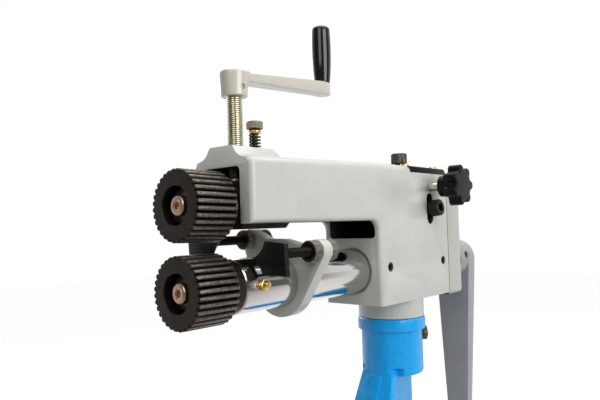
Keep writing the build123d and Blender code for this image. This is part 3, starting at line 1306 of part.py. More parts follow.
with BuildPart() as clamp_frame:
    with BuildSketch(level(SOCKET_TOP, SOCKET_X)):
        Circle(SOCKET_R)
    extrude(amount=SOCKET_BOTTOM - SOCKET_TOP)
    fillet(end_edges(clamp_frame, Axis.Z, False), 3.0)
    with BuildSketch(level(SOCKET_TOP, SOCKET_X)):
        Circle(SOCKET_RIM_R)
    extrude(amount=-SOCKET_RIM)
    chamfer(end_edges(clamp_frame, Axis.Z, True), 0.8)
    with BuildSketch(level(SOCKET_TOP + 1, SOCKET_X)):
        Circle(SPIGOT_R + RUN)
    extrude(amount=-(SPIGOT_LENGTH + 3), mode=Mode.SUBTRACT)
    # web of the clamp's C
    with BuildSketch(Plane.XZ):
        with BuildLine():
            Polyline(*web_outline, close=True)
        make_face()
    extrude(amount=WEB_THICK / 2, both=True)
    # sloping front flange, which spreads towards the jaw
    with BuildSketch(Plane.XZ):
        with BuildLine():
            Polyline(
                flange_top, flange_knee, flange_foot,
                (flange_foot[0] + 12, flange_foot[1] - FLANGE_THICK + 2),
                (flange_knee[0] + 5, flange_knee[1] - FLANGE_THICK),
                (flange_top[0] + FLANGE_THICK + 1, flange_top[1]), close=True,
            )
        make_face()
    extrude(amount=JAW_HALF, both=True)
    with BuildSketch(station(flange_foot[0] - 1, z=0)):
        with BuildLine():
            flare = Polyline(
                (0, SOCKET_BOTTOM + 8), (15.5, SOCKET_BOTTOM + 8), (22.5, JAW_THICK + 6),
                (JAW_HALF, JAW_THICK), (JAW_HALF, -1), (40, -1), (40, SOCKET_TOP + 2), (0, SOCKET_TOP + 2),
            )
            mirror(flare, about=Plane.YZ)
        make_face()
        with Locations((0, SOCKET_BOTTOM + 40)):
            Rectangle(80, 64, mode=Mode.SUBTRACT)
    extrude(amount=flange_top[0] + FLANGE_THICK + 3 - flange_foot[0], mode=Mode.SUBTRACT)
    # upper jaw, inner flange of the spine and lower jaw
    with Locations((0, 0, 0)):
        Box(JAW_LENGTH, 2 * JAW_HALF, JAW_THICK, align=(Align.CENTER, Align.CENTER, Align.MIN))
    with Locations((SPINE_FRONT_X, 0, LOWER_JAW_TOP - LOWER_JAW_THICK)):
        Box(
            FLANGE_THICK, 36, CLAMP_OPENING + LOWER_JAW_THICK + JAW_THICK,
            align=(Align.MIN, Align.CENTER, Align.MIN),
        )
    with Locations((0, 0, LOWER_JAW_TOP - LOWER_JAW_THICK)):
        Box(
            SPINE_FRONT_X + FLANGE_THICK, 30, LOWER_JAW_THICK,
            align=(Align.MIN, Align.CENTER, Align.MIN),
        )
    with BuildSketch(level(LOWER_JAW_TOP)):
        Circle(BOSS_R)
    extrude(amount=-CLAMP_BOSS)
    jaw_corners = clamp_frame.edges().filter_by(Axis.Z).filter_by(
        lambda e: e.center().X < -JAW_LENGTH / 2 + 0.1 and e.length < JAW_THICK + 1
    )
    fillet(jaw_corners, 8.0)
    with BuildSketch(level(LOWER_JAW_TOP + 1)):
        Circle(CLAMP_SCREW_R + RUN)
    extrude(amount=-(CLAMP_BOSS + 2), mode=Mode.SUBTRACT)
    # socket lock screw's hole
    lock_dir = Vector(cos(radians(LOCK_ANGLE)), sin(radians(LOCK_ANGLE)), 0)
    lock_z = SOCKET_TOP - SOCKET_RIM - 7.2
    lock_seat = Vector(SOCKET_X, 0, lock_z) + lock_dir * (SOCKET_R + 0.3)
    with BuildSketch(Plane(origin=lock_seat + lock_dir * 3, z_dir=lock_dir)):
        Circle(LOCK_R + SEAT)
    extrude(amount=-(SOCKET_R - SPIGOT_R + 5), mode=Mode.SUBTRACT)
clamp_frame.part.label = "clamp_frame"
export_step(clamp_frame.part, "parts/clamp_frame.step")

with BuildPart() as socket_lock_screw:
    with BuildSketch(Plane(origin=lock_seat, z_dir=lock_dir)):
        RegularPolygon(6.5, 6, major_radius=False)
    extrude(amount=5.3)
    with BuildSketch(Plane(origin=lock_seat, z_dir=lock_dir)):
        Circle(LOCK_R)
    extrude(amount=-(SOCKET_R - SPIGOT_R + 0.2))
socket_lock_screw.part.label = "socket_lock_screw"
export_step(socket_lock_screw.part, "parts/socket_lock_screw.step")

PAD_R = 17.0
PAD_THICK = 9.0
PAD_TOP = -BENCH_THICK
SCREW_HEAD_Z = PAD_TOP - 150.0
SCREW_HEAD_R = 12.0
TOMMY_R = 4.5
TOMMY_HALF = 62.0
TOMMY_Z = SCREW_HEAD_Z + 11.0
with BuildPart() as clamp_pad:
    with BuildSketch(level(PAD_TOP)):
        Circle(PAD_R)
    extrude(amount=-PAD_THICK)
    fillet(end_edges(clamp_pad, Axis.Z, True), 1.5)
    with BuildSketch(level(PAD_TOP - PAD_THICK - 1)):
        Circle(CLAMP_SCREW_R - 1.0 + RUN)
    extrude(amount=5.0, mode=Mode.SUBTRACT)
clamp_pad.part.label = "clamp_pad"
export_step(clamp_pad.part, "parts/clamp_pad.step")

with BuildPart() as clamp_screw:
    with BuildSketch(level(SCREW_HEAD_Z)):
        Circle(CLAMP_SCREW_R)
    extrude(amount=PAD_TOP - PAD_THICK - APART - SCREW_HEAD_Z)
    with BuildSketch(level(PAD_TOP - PAD_THICK - 2)):
        Circle(CLAMP_SCREW_R - 1.0)
    extrude(amount=5.5)
    with BuildSketch(level(SCREW_HEAD_Z)):
        Circle(SCREW_HEAD_R)
    extrude(amount=22.0)
    fillet(end_edges(clamp_screw, Axis.Z, False), 2.0)
    with BuildSketch(side(-SCREW_HEAD_R - 1, 0, TOMMY_Z)):
        Circle(TOMMY_R + 0.1)
    extrude(amount=-(2 * SCREW_HEAD_R + 2), mode=Mode.SUBTRACT)
clamp_screw.part.label = "clamp_screw"
export_step(clamp_screw.part, "parts/clamp_screw.step")

with BuildPart() as tommy_bar:
    with BuildSketch(side(-TOMMY_HALF, 0, TOMMY_Z)):
        Circle(TOMMY_R)
    extrude(amount=-2 * TOMMY_HALF)
    for end in (-1, 1):
        with Locations((0, end * TOMMY_HALF, TOMMY_Z)):
            Sphere(TOMMY_R + 2.2)
tommy_bar.part.label = "tommy_bar"
export_step(tommy_bar.part, "parts/tommy_bar.step")

# ---------------------------------------------------------------- facts for the motion
CLOSED_GAP = 0.6
closing = ROLL_GAP - CLOSED_GAP
lever_arm = PIVOT_X + THROAT_DEPTH
print(f"tilt as drawn {degrees(TILT):.4f} deg, closing turns it {degrees(atan(closing / lever_arm)):.4f} deg")
print(f"feed travel to close {closing * (PIVOT_X - FEED_X) / lever_arm:.4f} mm at pitch {FEED_PITCH}")
print(f"pivot ({PIVOT_X:.2f}, {PIVOT_Z:.2f}), feed {FEED_X:.2f}, lift {LIFT_X:.2f}, boss top {BOSS_TOP:.2f}")
print(f"near rod ({near_y:.2f}, {near_z:.2f}), far rod ({far_y:.2f}, {far_z:.2f})")
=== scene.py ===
"""Hand cranked sheet metal crimper on a bench clamp: finishes, small detail and the studio."""
import json
from math import atan2, cos, hypot, pi, radians, sin

import bpy
from mathutils import Matrix, Vector

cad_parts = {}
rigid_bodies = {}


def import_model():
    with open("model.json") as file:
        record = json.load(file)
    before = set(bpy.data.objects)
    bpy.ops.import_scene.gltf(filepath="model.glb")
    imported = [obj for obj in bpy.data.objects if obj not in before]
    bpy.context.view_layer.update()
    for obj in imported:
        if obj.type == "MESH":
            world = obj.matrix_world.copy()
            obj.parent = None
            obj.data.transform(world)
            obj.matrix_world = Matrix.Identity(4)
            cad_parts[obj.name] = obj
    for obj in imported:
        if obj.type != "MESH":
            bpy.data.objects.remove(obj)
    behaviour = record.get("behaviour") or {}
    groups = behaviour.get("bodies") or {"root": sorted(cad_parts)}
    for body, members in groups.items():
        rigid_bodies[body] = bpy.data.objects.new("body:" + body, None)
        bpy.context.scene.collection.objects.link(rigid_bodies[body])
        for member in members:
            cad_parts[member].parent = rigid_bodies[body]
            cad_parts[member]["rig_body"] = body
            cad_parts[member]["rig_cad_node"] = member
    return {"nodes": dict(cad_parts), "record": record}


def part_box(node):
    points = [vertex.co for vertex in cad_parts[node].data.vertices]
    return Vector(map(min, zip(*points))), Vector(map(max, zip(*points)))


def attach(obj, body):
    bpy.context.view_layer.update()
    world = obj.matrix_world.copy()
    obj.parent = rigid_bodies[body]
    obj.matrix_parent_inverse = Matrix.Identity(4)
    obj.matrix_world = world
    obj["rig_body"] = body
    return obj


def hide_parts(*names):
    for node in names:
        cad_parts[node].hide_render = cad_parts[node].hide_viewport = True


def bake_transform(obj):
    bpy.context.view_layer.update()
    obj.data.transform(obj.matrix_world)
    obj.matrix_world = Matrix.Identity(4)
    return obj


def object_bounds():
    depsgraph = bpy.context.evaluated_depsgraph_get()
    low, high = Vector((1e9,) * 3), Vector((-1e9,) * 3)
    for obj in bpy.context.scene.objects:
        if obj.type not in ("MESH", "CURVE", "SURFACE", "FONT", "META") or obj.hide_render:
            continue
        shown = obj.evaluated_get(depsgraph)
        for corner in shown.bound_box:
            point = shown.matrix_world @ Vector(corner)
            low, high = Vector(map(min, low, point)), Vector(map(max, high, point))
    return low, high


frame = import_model()
CAD_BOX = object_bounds()
NODES = frame["nodes"]
MM = 0.001
X, Y, Z = range(3)

bl_info = {
    "name": "Sheet metal crimper",
    "version": (1, 0, 0),
    "blender": (4, 5, 0),
    "location": "View3D > Sidebar > Crimper",
    "description": "Builds the finishes and small detail of a hand cranked sheet metal crimper",
    "category": "Add Mesh",
}


# ---------------------------------------------------------------- places read from the frame
def node_box(node):
    """A CAD node's lowest and highest corner and its middle, in metres."""
    low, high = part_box(node)
    return low, high, (low + high) / 2


LOWER_AXIS = node_box("lower_tube")[2]
LIFT = node_box("lift_nut")[2]
UPPER_TURN = next(j for j in frame["record"]["behaviour"]["joints"] if j["name"] == "upper_turn")
UPPER_DIRECTION = Vector(UPPER_TURN["axis"])
UPPER_POINT = Vector(UPPER_TURN["pos_m"])
UPPER_FALL = UPPER_DIRECTION.z / UPPER_DIRECTION.x
BODY_SIDE = node_box("body_casting")[1].y / MM
BODY_REAR = node_box("body_casting")[1].x / MM


# ---------------------------------------------------------------- sizes of the pieces, in mm
SMOOTH_ANGLE = 32
ROLL_RADIUS = 25.0
ROLL_BORE = 10.6
ROLL_STEPS = 256
RECESS_RADIUS = 13.5
RECESS_DEPTH = 9.0
RIB_RADII = (22.9, 23.75, 24.62, 24.93, ROLL_RADIUS, 24.93, 24.62, 23.75)
RIB_FLOOR = 24.0
UPPER_ROLL_SETBACK = 0.1
FEED_FOOT = 8.0
COLLAR_BORE = 3.1
COLLAR_HEIGHT = 3.1
STUD_RADIUS = 3.0
STUD_WAIST_RADIUS = 2.2
STUD_WAIST_LOW = 26.0
STUD_WAIST_DROP = 9.4
ROD_NUT_RADIUS = 8.2
ROD_NUT_LENGTH = 9.0
ROD_NUT_DISH = 1.4
ROD_NUT_BORE = 3.9
CAP_RADIUS = 8.0
CAP_HEIGHT = 10.0
CAP_SHANK = 5.0
CAP_SOCKET = 8.0
ADJUSTER_LEAN = radians(5.6)
ADJUSTER_REACH = 33.4
ADJUSTER_LENGTH = 13.0
OIL_PLUG_LENGTH = 12.0
CLAMP_HEAD = 22.0
CLAMP_THREAD_RADIUS = 7.0
SET_SCREW_RADIUS = 3.6


# ---------------------------------------------------------------- the studio, in metres and watts
# A lamp's row is its name, place, target, side and power.
PHOTO_WIDTH = 600.0
FOCAL_PIXELS = 587.45
SENSOR_WIDTH = 36.0
CAMERA_PLACE = (-0.4297, -0.3175, 0.2077)
CAMERA_YAW = radians(48.65)
CAMERA_PITCH = radians(2.46)
CAMERA_ROLL = radians(-1.70)
LAMPS = (
    ("Top softbox", (0.05, -0.1, 1.25), (0.0, 0.0, 0.2), 1.3, 10.5),
    ("Side softbox", (-0.1, -1.35, 0.55), (0.0, 0.0, 0.15), 0.9, 13.0),
    ("Front softbox", (-1.2, -0.5, 0.9), (-0.05, 0.0, 0.18), 0.7, 4.5),
    ("Rear softbox", (0.5, 1.3, 0.7), (0.0, 0.0, 0.15), 0.9, 7.0),
)
ROOM_LIGHT = 0.21
ROOM_BEHIND_CAMERA = 0.11
FLOOR_SIZE = 8.0
FLOOR_GLOW = 0.86
FLOOR_MIRROR_NEAR = 0.10
FLOOR_MIRROR_FAR = 0.70


# ---------------------------------------------------------------- colours that stay as they are
PRIMER = (0.17, 0.075, 0.045)
# Near black for the walls of hollows and the cover joint: painted shade, partly bare casting.
BARE_AND_SHADE_COLOUR = (0.022, 0.019, 0.016)
# Near black for the bottoms of the rollers' grooves: painted shade.
GROOVE_SHADE_COLOUR = (0.004, 0.0035, 0.003)
# Dark for the roots of threads and knurls: painted shade.
THREAD_SHADE_COLOUR = (0.030, 0.026, 0.018)
FLOOR_DARK = (0.27, 0.27, 0.27)
FLOOR_LIGHT = (0.29, 0.29, 0.29)


# ---------------------------------------------------------------- settings
class CrimperColours(bpy.types.PropertyGroup):
    """Enamel colours"""

    enamel: bpy.props.FloatVectorProperty(
        name="Body enamel", description="Warm grey of the castings", subtype="COLOR",
        size=3, min=0, max=1, default=(0.585, 0.595, 0.555),
    )
    crank_enamel: bpy.props.FloatVectorProperty(
        name="Crank enamel", description="Cream grey of the feed crank", subtype="COLOR",
        size=3, min=0, max=1, default=(0.59, 0.565, 0.485),
    )
    lever_enamel: bpy.props.FloatVectorProperty(
        name="Lever enamel", description="Grey of the crank lever", subtype="COLOR",
        size=3, min=0, max=1, default=(0.335, 0.34, 0.355),
    )
    clamp_enamel: bpy.props.FloatVectorProperty(
        name="Clamp enamel", description="Bright blue of the bench clamp", subtype="COLOR",
        size=3, min=0, max=1, default=(0.0, 0.40, 0.92),
    )


class CrimperSizes(bpy.types.PropertyGroup):
    """Sizes of threads, knurls and the lifting spring"""

    feed_pitch: bpy.props.FloatProperty(
        name="Feed thread pitch", description="Rise of the feed screw's thread for one turn",
        default=1.5 * MM, min=0.5 * MM, max=4 * MM, subtype="DISTANCE", unit="LENGTH",
    )
    rod_pitch: bpy.props.FloatProperty(
        name="Rod thread pitch", description="Rise of the stop rods' thread for one turn",
        default=1.25 * MM, min=0.5 * MM, max=4 * MM, subtype="DISTANCE", unit="LENGTH",
    )
    clamp_pitch: bpy.props.FloatProperty(
        name="Clamp thread pitch", description="Rise of the clamp screw's thread for one turn",
        default=2.0 * MM, min=1 * MM, max=6 * MM, subtype="DISTANCE", unit="LENGTH",
    )
    knurl_depth: bpy.props.FloatProperty(
        name="Knurl depth", description="Height of the knurl's points on the nuts",
        default=0.35 * MM, min=0.1 * MM, max=1 * MM, subtype="DISTANCE", unit="LENGTH",
    )
    spring_turns: bpy.props.FloatProperty(
        name="Spring turns", description="Turns of the lifting spring", default=4.6, min=2, max=9,
    )
    wire_radius: bpy.props.FloatProperty(
        name="Spring wire radius", description="Radius of the lifting spring's wire",
        default=0.65 * MM, min=0.3 * MM, max=1 * MM, subtype="DISTANCE", unit="LENGTH",
    )


# ---------------------------------------------------------------- shader expressions
class Wire:
    """A shader socket that takes part in Python expressions through Math nodes."""

    def __init__(self, shader, socket):
        self.shader = shader
        self.socket = socket

    def _math(self, operation, first, second=None):
        values = [first] if second is None else [first, second]
        return self.shader.node("Math", {"operation": operation}, dict(enumerate(values)))

    def __add__(self, other):
        return self._math("ADD", self, other)

    def __radd__(self, other):
        return self._math("ADD", other, self)

    def __sub__(self, other):
        return self._math("SUBTRACT", self, other)

    def __rsub__(self, other):
        return self._math("SUBTRACT", other, self)

    def __mul__(self, other):
        return self._math("MULTIPLY", self, other)

    def __rmul__(self, other):
        return self._math("MULTIPLY", other, self)

    def __pow__(self, other):
        return self._math("POWER", self, other)

    def least(self, other):
        """The smaller of two values."""
        return self._math("MINIMUM", self, other)

    def most(self, other):
        """The larger of two values."""
        return self._math("MAXIMUM", self, other)

    def step(self, low, high):
        """0 below low, 1 above high and smooth between them."""
        settings = {"interpolation_type": "SMOOTHSTEP"}
        inputs = {"Value": self, "From Min": low, "From Max": high}
        return self.shader.node("MapRange", settings, inputs, "Result")


class Graph:
    """A node tree that takes one node at a time."""

    def __init__(self, tree):
        self.tree = tree

    def node(self, kind, settings, inputs, output=0):
        """Adds a node, makes its settings, feeds its inputs and returns one of its outputs."""
        made = self.tree.nodes.new("ShaderNode" + kind)
        for key, value in settings.items():
            setattr(made, key, value)
        for key, value in inputs.items():
            self.feed(made.inputs[key], value)
        return Wire(self, made.outputs[output])

    def feed(self, socket, value):
        """Links a socket to an expression, or sets it to a number or a colour."""
        if isinstance(value, Wire):
            self.tree.links.new(value.socket, socket)
        elif hasattr(value, "__len__") and len(value) == 3 and socket.type == "RGBA":
            socket.default_value = (*value, 1.0)
        else:
            socket.default_value = value


class Shader(Graph):
    """A material under construction, ending in its Principled BSDF.

    place is the point in mm and xyz holds its three coordinates.
    """

    MIX_FIRST, MIX_SECOND, MIX_COLOUR = 6, 7, 2

    def __init__(self, name):
        self.material = bpy.data.materials.new(name)
        self.material.use_nodes = True
        super().__init__(self.material.node_tree)
        self.bsdf = self.tree.nodes["Principled BSDF"]
        coords = self.node("TexCoord", {}, {}, "Object")
        in_mm = {0: coords, "Scale": 1 / MM}
        self.place = self.node("VectorMath", {"operation": "SCALE"}, in_mm, "Vector")
        self.xyz = [self.node("SeparateXYZ", {}, {"Vector": self.place}, axis) for axis in "XYZ"]

    def noise(self, scale, detail=2.0, roughness=0.5, vector=None):
        inputs = {
            "Vector": vector or self.place, "Scale": scale,
            "Detail": detail, "Roughness": roughness,
        }
        return self.node("TexNoise", {}, inputs, "Fac")

    def stretched(self, x, y, z):
        """The point with each coordinate multiplied, which draws a noise out into lines."""
        inputs = {0: self.place, 1: (x, y, z)}
        return self.node("VectorMath", {"operation": "MULTIPLY"}, inputs, "Vector")

    def mix(self, mask, first, second):
        """The first colour where the mask is 0, the second where it is 1."""
        inputs = {"Factor": mask, self.MIX_FIRST: first, self.MIX_SECOND: second}
        return self.node("Mix", {"data_type": "RGBA"}, inputs, self.MIX_COLOUR)

    def radius(self, centre, axis, fall=0.0):
        """Distance in mm from a line along an axis through centre, which is in metres.

        fall is the line's rise in Z for each mm along X, for a spindle that leans.
        """
        offsets = [self.xyz[i] - centre[i] / MM for i in (X, Y, Z) if i != axis]
        if fall:
            offsets[1] = offsets[1] - (self.xyz[X] - centre[X] / MM) * fall
        return (offsets[0] * offsets[0] + offsets[1] * offsets[1]) ** 0.5

    def bump(self, height, strength, distance, normal=None):
        """A normal from a height; distance in mm is the height of its full range."""
        inputs = {"Height": height, "Strength": strength, "Distance": distance * MM}
        if normal:
            inputs["Normal"] = normal
        return self.node("Bump", {}, inputs, "Normal")

    def finish(self, **inputs):
        """Feeds the Principled BSDF's inputs and returns the material."""
        for key, value in inputs.items():
            self.feed(self.bsdf.inputs[key.replace("_", " ")], value)
        return self.material


def tint(colour, factor):
    """A colour made lighter or darker."""
    return tuple(min(1.0, c * factor) for c in colour)


def inside(s, low, high):
    """1 inside a box given in mm, 0 outside it."""
    edge = 0.05
    mask = 1.0
    for axis, (start, end) in enumerate(zip(low, high)):
        mask = (s.xyz[axis] - start).step(-edge, edge) * mask
        mask = (end - s.xyz[axis]).step(-edge, edge) * mask
    return mask


def enamel(name, colour, roughness, peel=0.25, casting=0.22, coat=0.25, bare_and_shade_boxes=(), holes=()):
    """Sprayed enamel over a casting: faint mottling, orange peel and soft unevenness.

    peel and casting are the strengths of the fine and the broad waves. Inside each of the boxes
    the walls are painted near black without coat: painted shade in the hollows and the joint,
    partly bare casting. Round each of the holes, drilled from the near side after painting, a
    thin rim of primer shows; each is a centre in metres and a radius in mm.
    """
    s = Shader(name)
    mottle = s.noise(0.035, 3.0, 0.6)
    grime = s.noise(0.4, 4.0, 0.7).step(0.45, 0.8)
    base = s.mix(mottle.step(0.35, 0.7), tint(colour, 0.97), tint(colour, 1.03))
    base = s.mix(grime * 0.10, base, tint(colour, 0.82))
    wave = s.bump(s.noise(0.11, 2.0, 0.5), casting, 1.2)
    skin = s.bump(s.noise(1.3, 1.0, 0.5), peel, 0.06, wave)
    gloss = roughness + s.noise(0.3, 3.0, 0.6) * 0.10
    sheen = coat
    if holes:
        ring = 0.0
        for centre, radius in holes:
            ring = (1 - s.radius(centre, Y).step(radius + 0.5, radius + 0.9)) + ring
        near_face = 1 - s.xyz[Y].step(-28.0, -27.0)
        base = s.mix(ring.least(1.0) * near_face, base, PRIMER)
    # Painted shade: walls inside the boxes turn near black and lose their coat, partly bare
    # casting.
    if bare_and_shade_boxes:
        hollow = inside(s, *bare_and_shade_boxes[0])
        for box in bare_and_shade_boxes[1:]:
            hollow = hollow.most(inside(s, *box))
        base = s.mix(hollow, base, BARE_AND_SHADE_COLOUR)
        gloss = gloss + hollow * 0.3
        sheen = (1 - hollow) * coat
    return s.finish(
        Base_Color=base, Roughness=gloss, Normal=skin, Coat_Weight=sheen, Coat_Roughness=0.12,
    )


def black_oxide(
    name, colour=(0.021, 0.0155, 0.011), roughness=0.34, wear_and_highlight_mask=None, metal=0.75, root=None,
    bright=(0.30, 0.26, 0.22),
):
    """Oiled black oxide on steel with a brown cast.

    The first mask makes crests and tips bright, partly wear and partly a painted highlight;
    root makes the bottoms of grooves near black as painted shade.
    """
    s = Shader(name)
    cloud = s.noise(0.25, 4.0, 0.6)
    base = s.mix(cloud.step(0.3, 0.75), tint(colour, 0.75), tint(colour, 1.6))
    # Bright crests and tips, partly wear and partly a painted highlight.
    if wear_and_highlight_mask:
        mask = wear_and_highlight_mask(s) * s.noise(0.7, 4.0, 0.7).step(0.25, 0.7)
        base = s.mix(mask, base, bright)
    # Painted shade: groove bottoms near black.
    if root:
        base = s.mix(root(s), base, GROOVE_SHADE_COLOUR)
    pits = s.noise(2.2, 3.0, 0.6)
    skin = s.bump(pits, 0.25, 0.03)
    gloss = roughness + cloud * 0.14 + pits * 0.06
    return s.finish(Base_Color=base, Roughness=gloss, Normal=skin, Metallic=metal)


def metal(
    name, colour, roughness, stretch=(1, 1, 1), lines=0.2, tarnish=0.12, scale=1.5, root=None,
):
    """Machined or plated metal: fine lines along the cut and a little tarnish.

    stretch draws the lines out, lines is their depth and scale their number for each mm. root
    is a mask of places painted dark as painted shade, such as the bottom of a thread.
    """
    s = Shader(name)
    cut = s.noise(scale, 3.0, 0.6, s.stretched(*stretch))
    cloud = s.noise(0.3, 3.0, 0.6)
    base = s.mix(cloud.step(0.35, 0.8) * tarnish * 4, colour, tint(colour, 0.72))
    # Painted shade: dark at the root of a thread or knurl.
    if root:
        base = s.mix(root(s), base, THREAD_SHADE_COLOUR)
    gloss = roughness + cut * roughness * 0.5 + cloud * 0.05
    skin = s.bump(cut, lines, 0.02)
    return s.finish(Base_Color=base, Roughness=gloss, Normal=skin, Metallic=1.0)


def moulded(name, colour, roughness, specular=0.5):
    """Glossy black moulded plastic with a slightly wavy skin."""
    s = Shader(name)
    wave = s.bump(s.noise(0.12, 2.0, 0.5), 0.12, 0.4)
    speck = s.noise(1.2, 2.0, 0.5)
    base = s.mix(speck.step(0.5, 0.8), colour, tint(colour, 1.5))
    gloss = roughness + s.noise(0.4, 3.0, 0.6) * 0.06
    skin = s.bump(speck, 0.05, 0.02, wave)
    return s.finish(Base_Color=base, Roughness=gloss, Normal=skin, Specular_IOR_Level=specular)


def rib_crest_wear_highlight(centre, fall=0.0):
    """Bright crests on a roller's ribs, partly wear and partly a painted highlight."""
    return lambda s: s.radius(centre, X, fall).step(ROLL_RADIUS - 0.6, ROLL_RADIUS - 0.02) * 0.8


def rib_groove_shade(centre, fall=0.0):
    """Painted shade: near black bottoms of a roller's grooves, behind its flat front."""
    front = node_box("lower_roller")[0].x / MM

    def mask(s):
        radius = s.radius(centre, X, fall)
        below_crest = 1 - radius.step(ROLL_RADIUS - 1.5, ROLL_RADIUS - 0.6)
        outside_core = radius.step(22.2, 22.6)
        behind_front = s.xyz[X].step(front + 0.2, front + 1.0)
        return below_crest * outside_core * behind_front

    return mask


def knurl_tip_wear_highlight(centres, axis, radius):
    """Bright tips of a knurl round each centre, partly wear and partly a painted highlight;
    radius in mm.
    """
    def mask(s):
        nearest = s.radius(centres[0], axis)
        for centre in centres[1:]:
            nearest = nearest.least(s.radius(centre, axis))
        return nearest.step(radius - 0.3, radius)

    return mask


def thread_root_shade(centre, axis, root, crest):
    """Painted shade at a thread's root radius, none at its crest; radii in mm."""
    return lambda s: (1 - s.radius(centre, axis).step(root, crest)) * 0.85


# Each hollow is a box, its lowest and highest corner in mm; their walls get painted shade.
ARM_CHANNEL = ((-98.9, -25.9, 210.4), (62.6, 25.9, 249.2))
THROAT_WINDOW = ((1.5, -25.9, 193.8), (62.6, 25.9, 212.0))
NOSE_HOLLOW = ((-152.0, -19.5, 210.4), (-98.0, 19.5, 250.6))
ADJUSTER_SLOT = ((80.0, -BODY_SIDE + 0.5, 195.0), (97.0, 0.0, 240.0))
# The joint of body and cover gets a painted shadow line.
COVER_JOINT = ((BODY_REAR - 0.35, -90.0, 100.0), (BODY_REAR + 0.65, 90.0, 262.0))
SHADED_BARE_BOXES = (ARM_CHANNEL, THROAT_WINDOW, NOSE_HOLLOW, ADJUSTER_SLOT, COVER_JOINT)
FINISHES = {}


class CRIMPER_OT_finishes(bpy.types.Operator):
    """Enamels, plated and blackened metals, and plastics"""

    bl_idname = "crimper.finishes"
    bl_label = "Finishes"

    def execute(self, context):
        colours = context.scene.crimper_colours
        body = tuple(colours.enamel)
        crank = tuple(colours.crank_enamel)
        lever = tuple(colours.lever_enamel)
        clamp = tuple(colours.clamp_enamel)
        low, high, middle = node_box("spindle_set_screws")
        inset = SET_SCREW_RADIUS * MM
        ends = (low.x + inset, high.x - inset)
        drilled = [((end, 0.0, middle.z), SET_SCREW_RADIUS) for end in ends]
        FINISHES.update(
            # Body and cover get painted shade in their hollows and joint.
            enamel=enamel("Satin grey enamel", body, 0.30, bare_and_shade_boxes=SHADED_BARE_BOXES, holes=drilled),
            bracket=enamel("Bracket enamel", body, 0.28),
            cover=enamel(
                "Satin grey enamel on the cover", tint(body, 0.88), 0.32, bare_and_shade_boxes=(COVER_JOINT,),
            ),
            crank=enamel("Cream enamel", crank, 0.20, peel=0.1, casting=0.25, coat=0.5),
            lever=enamel("Lever enamel", lever, 0.30, casting=0.6),
            clamp=enamel("Blue enamel", clamp, 0.26, casting=0.9, coat=0.1),
        )
        self.metals()
        self.blackened()
        FINISHES.update(
            plastic=moulded("Black plastic", (0.008, 0.007, 0.006), 0.10),
            star=moulded("Star knob plastic", (0.006, 0.005, 0.0045), 0.22, 0.12),
        )
        return {"FINISHED"}

    def metals(self):
        """Polished, ground, plated and brass pieces."""
        low, high, feed = node_box("feed_screw")
        feed_radius = (high.x - low.x) / 2 / MM
        low, high, nut = node_box("lift_nut")
        nut_radius = (high.x - low.x) / 2 / MM
        FINISHES.update(
            chrome=metal(
                "Polished chrome", (0.62, 0.60, 0.58), 0.08, (0.3, 0.02, 0.02), 0.05, 0.03, 6.0,
            ),
            ground=metal("Ground steel", (0.50, 0.49, 0.47), 0.22, (2.0, 0.1, 0.1), 0.2, 0.1),
            zinc=metal("Zinc plated steel", (0.62, 0.59, 0.51), 0.22, tarnish=0.15),
            # Thread and knurl roots get painted shade.
            feed=metal(
                "Feed thread steel", (0.80, 0.76, 0.62), 0.20, lines=0.04, tarnish=0.12,
                root=thread_root_shade(feed, Z, feed_radius - 1.0, feed_radius - 0.5),
            ),
            brass=metal("Bright brass", (0.78, 0.52, 0.19), 0.20, tarnish=0.15),
            aged_brass=metal(
                "Aged brass", (0.52, 0.46, 0.36), 0.26, tarnish=0.25,
                root=thread_root_shade(nut, Z, nut_radius - 0.45, nut_radius - 0.15),
            ),
            bronze=metal("Coppered bolt", (0.58, 0.40, 0.29), 0.26, tarnish=0.25),
            washer=metal("Plain washer", (0.15, 0.135, 0.14), 0.32),
        )

    def blackened(self):
        """Pieces of black oxide and dark steel."""
        lower = (0.0, 0.0, LOWER_AXIS.z)
        rods = [node_box("near_stop_rod")[2], node_box("far_stop_rod")[2]]
        FINISHES.update(
            # Roller crests get wear and a painted highlight, groove bottoms painted shade.
            lower_roll=black_oxide(
                "Lower roller oxide", roughness=0.30, wear_and_highlight_mask=rib_crest_wear_highlight(lower), root=rib_groove_shade(lower),
            ),
            upper_roll=black_oxide(
                "Upper roller oxide", roughness=0.30, wear_and_highlight_mask=rib_crest_wear_highlight(UPPER_POINT, UPPER_FALL),
                root=rib_groove_shade(UPPER_POINT, UPPER_FALL),
            ),
            oxide=black_oxide("Black oxide"),
            plate=black_oxide("Black plate", (0.012, 0.011, 0.010), 0.40),
            # Knurl tips get wear and a painted highlight.
            knurl=black_oxide(
                "Knurled dark steel", (0.035, 0.031, 0.027), 0.30,
                wear_and_highlight_mask=knurl_tip_wear_highlight(rods, X, ROD_NUT_RADIUS - 0.15), metal=0.9,
                bright=(0.50, 0.46, 0.40),
            ),
            cap=black_oxide("Cap screw oxide", (0.070, 0.060, 0.052), 0.30, metal=0.9),
            dark=black_oxide("Dark steel", (0.05, 0.047, 0.043), 0.38, metal=0.85),
            set_screw=black_oxide("Set screw", (0.022, 0.018, 0.015), 0.36),
            spring=black_oxide("Spring wire", (0.012, 0.012, 0.012), 0.28, metal=0.6),
        )


# ---------------------------------------------------------------- modelling helpers
def only(obj):
    """Makes obj the one selected and active object."""
    bpy.ops.object.select_all(action="DESELECT")
    obj.select_set(True)
    bpy.context.view_layer.objects.active = obj


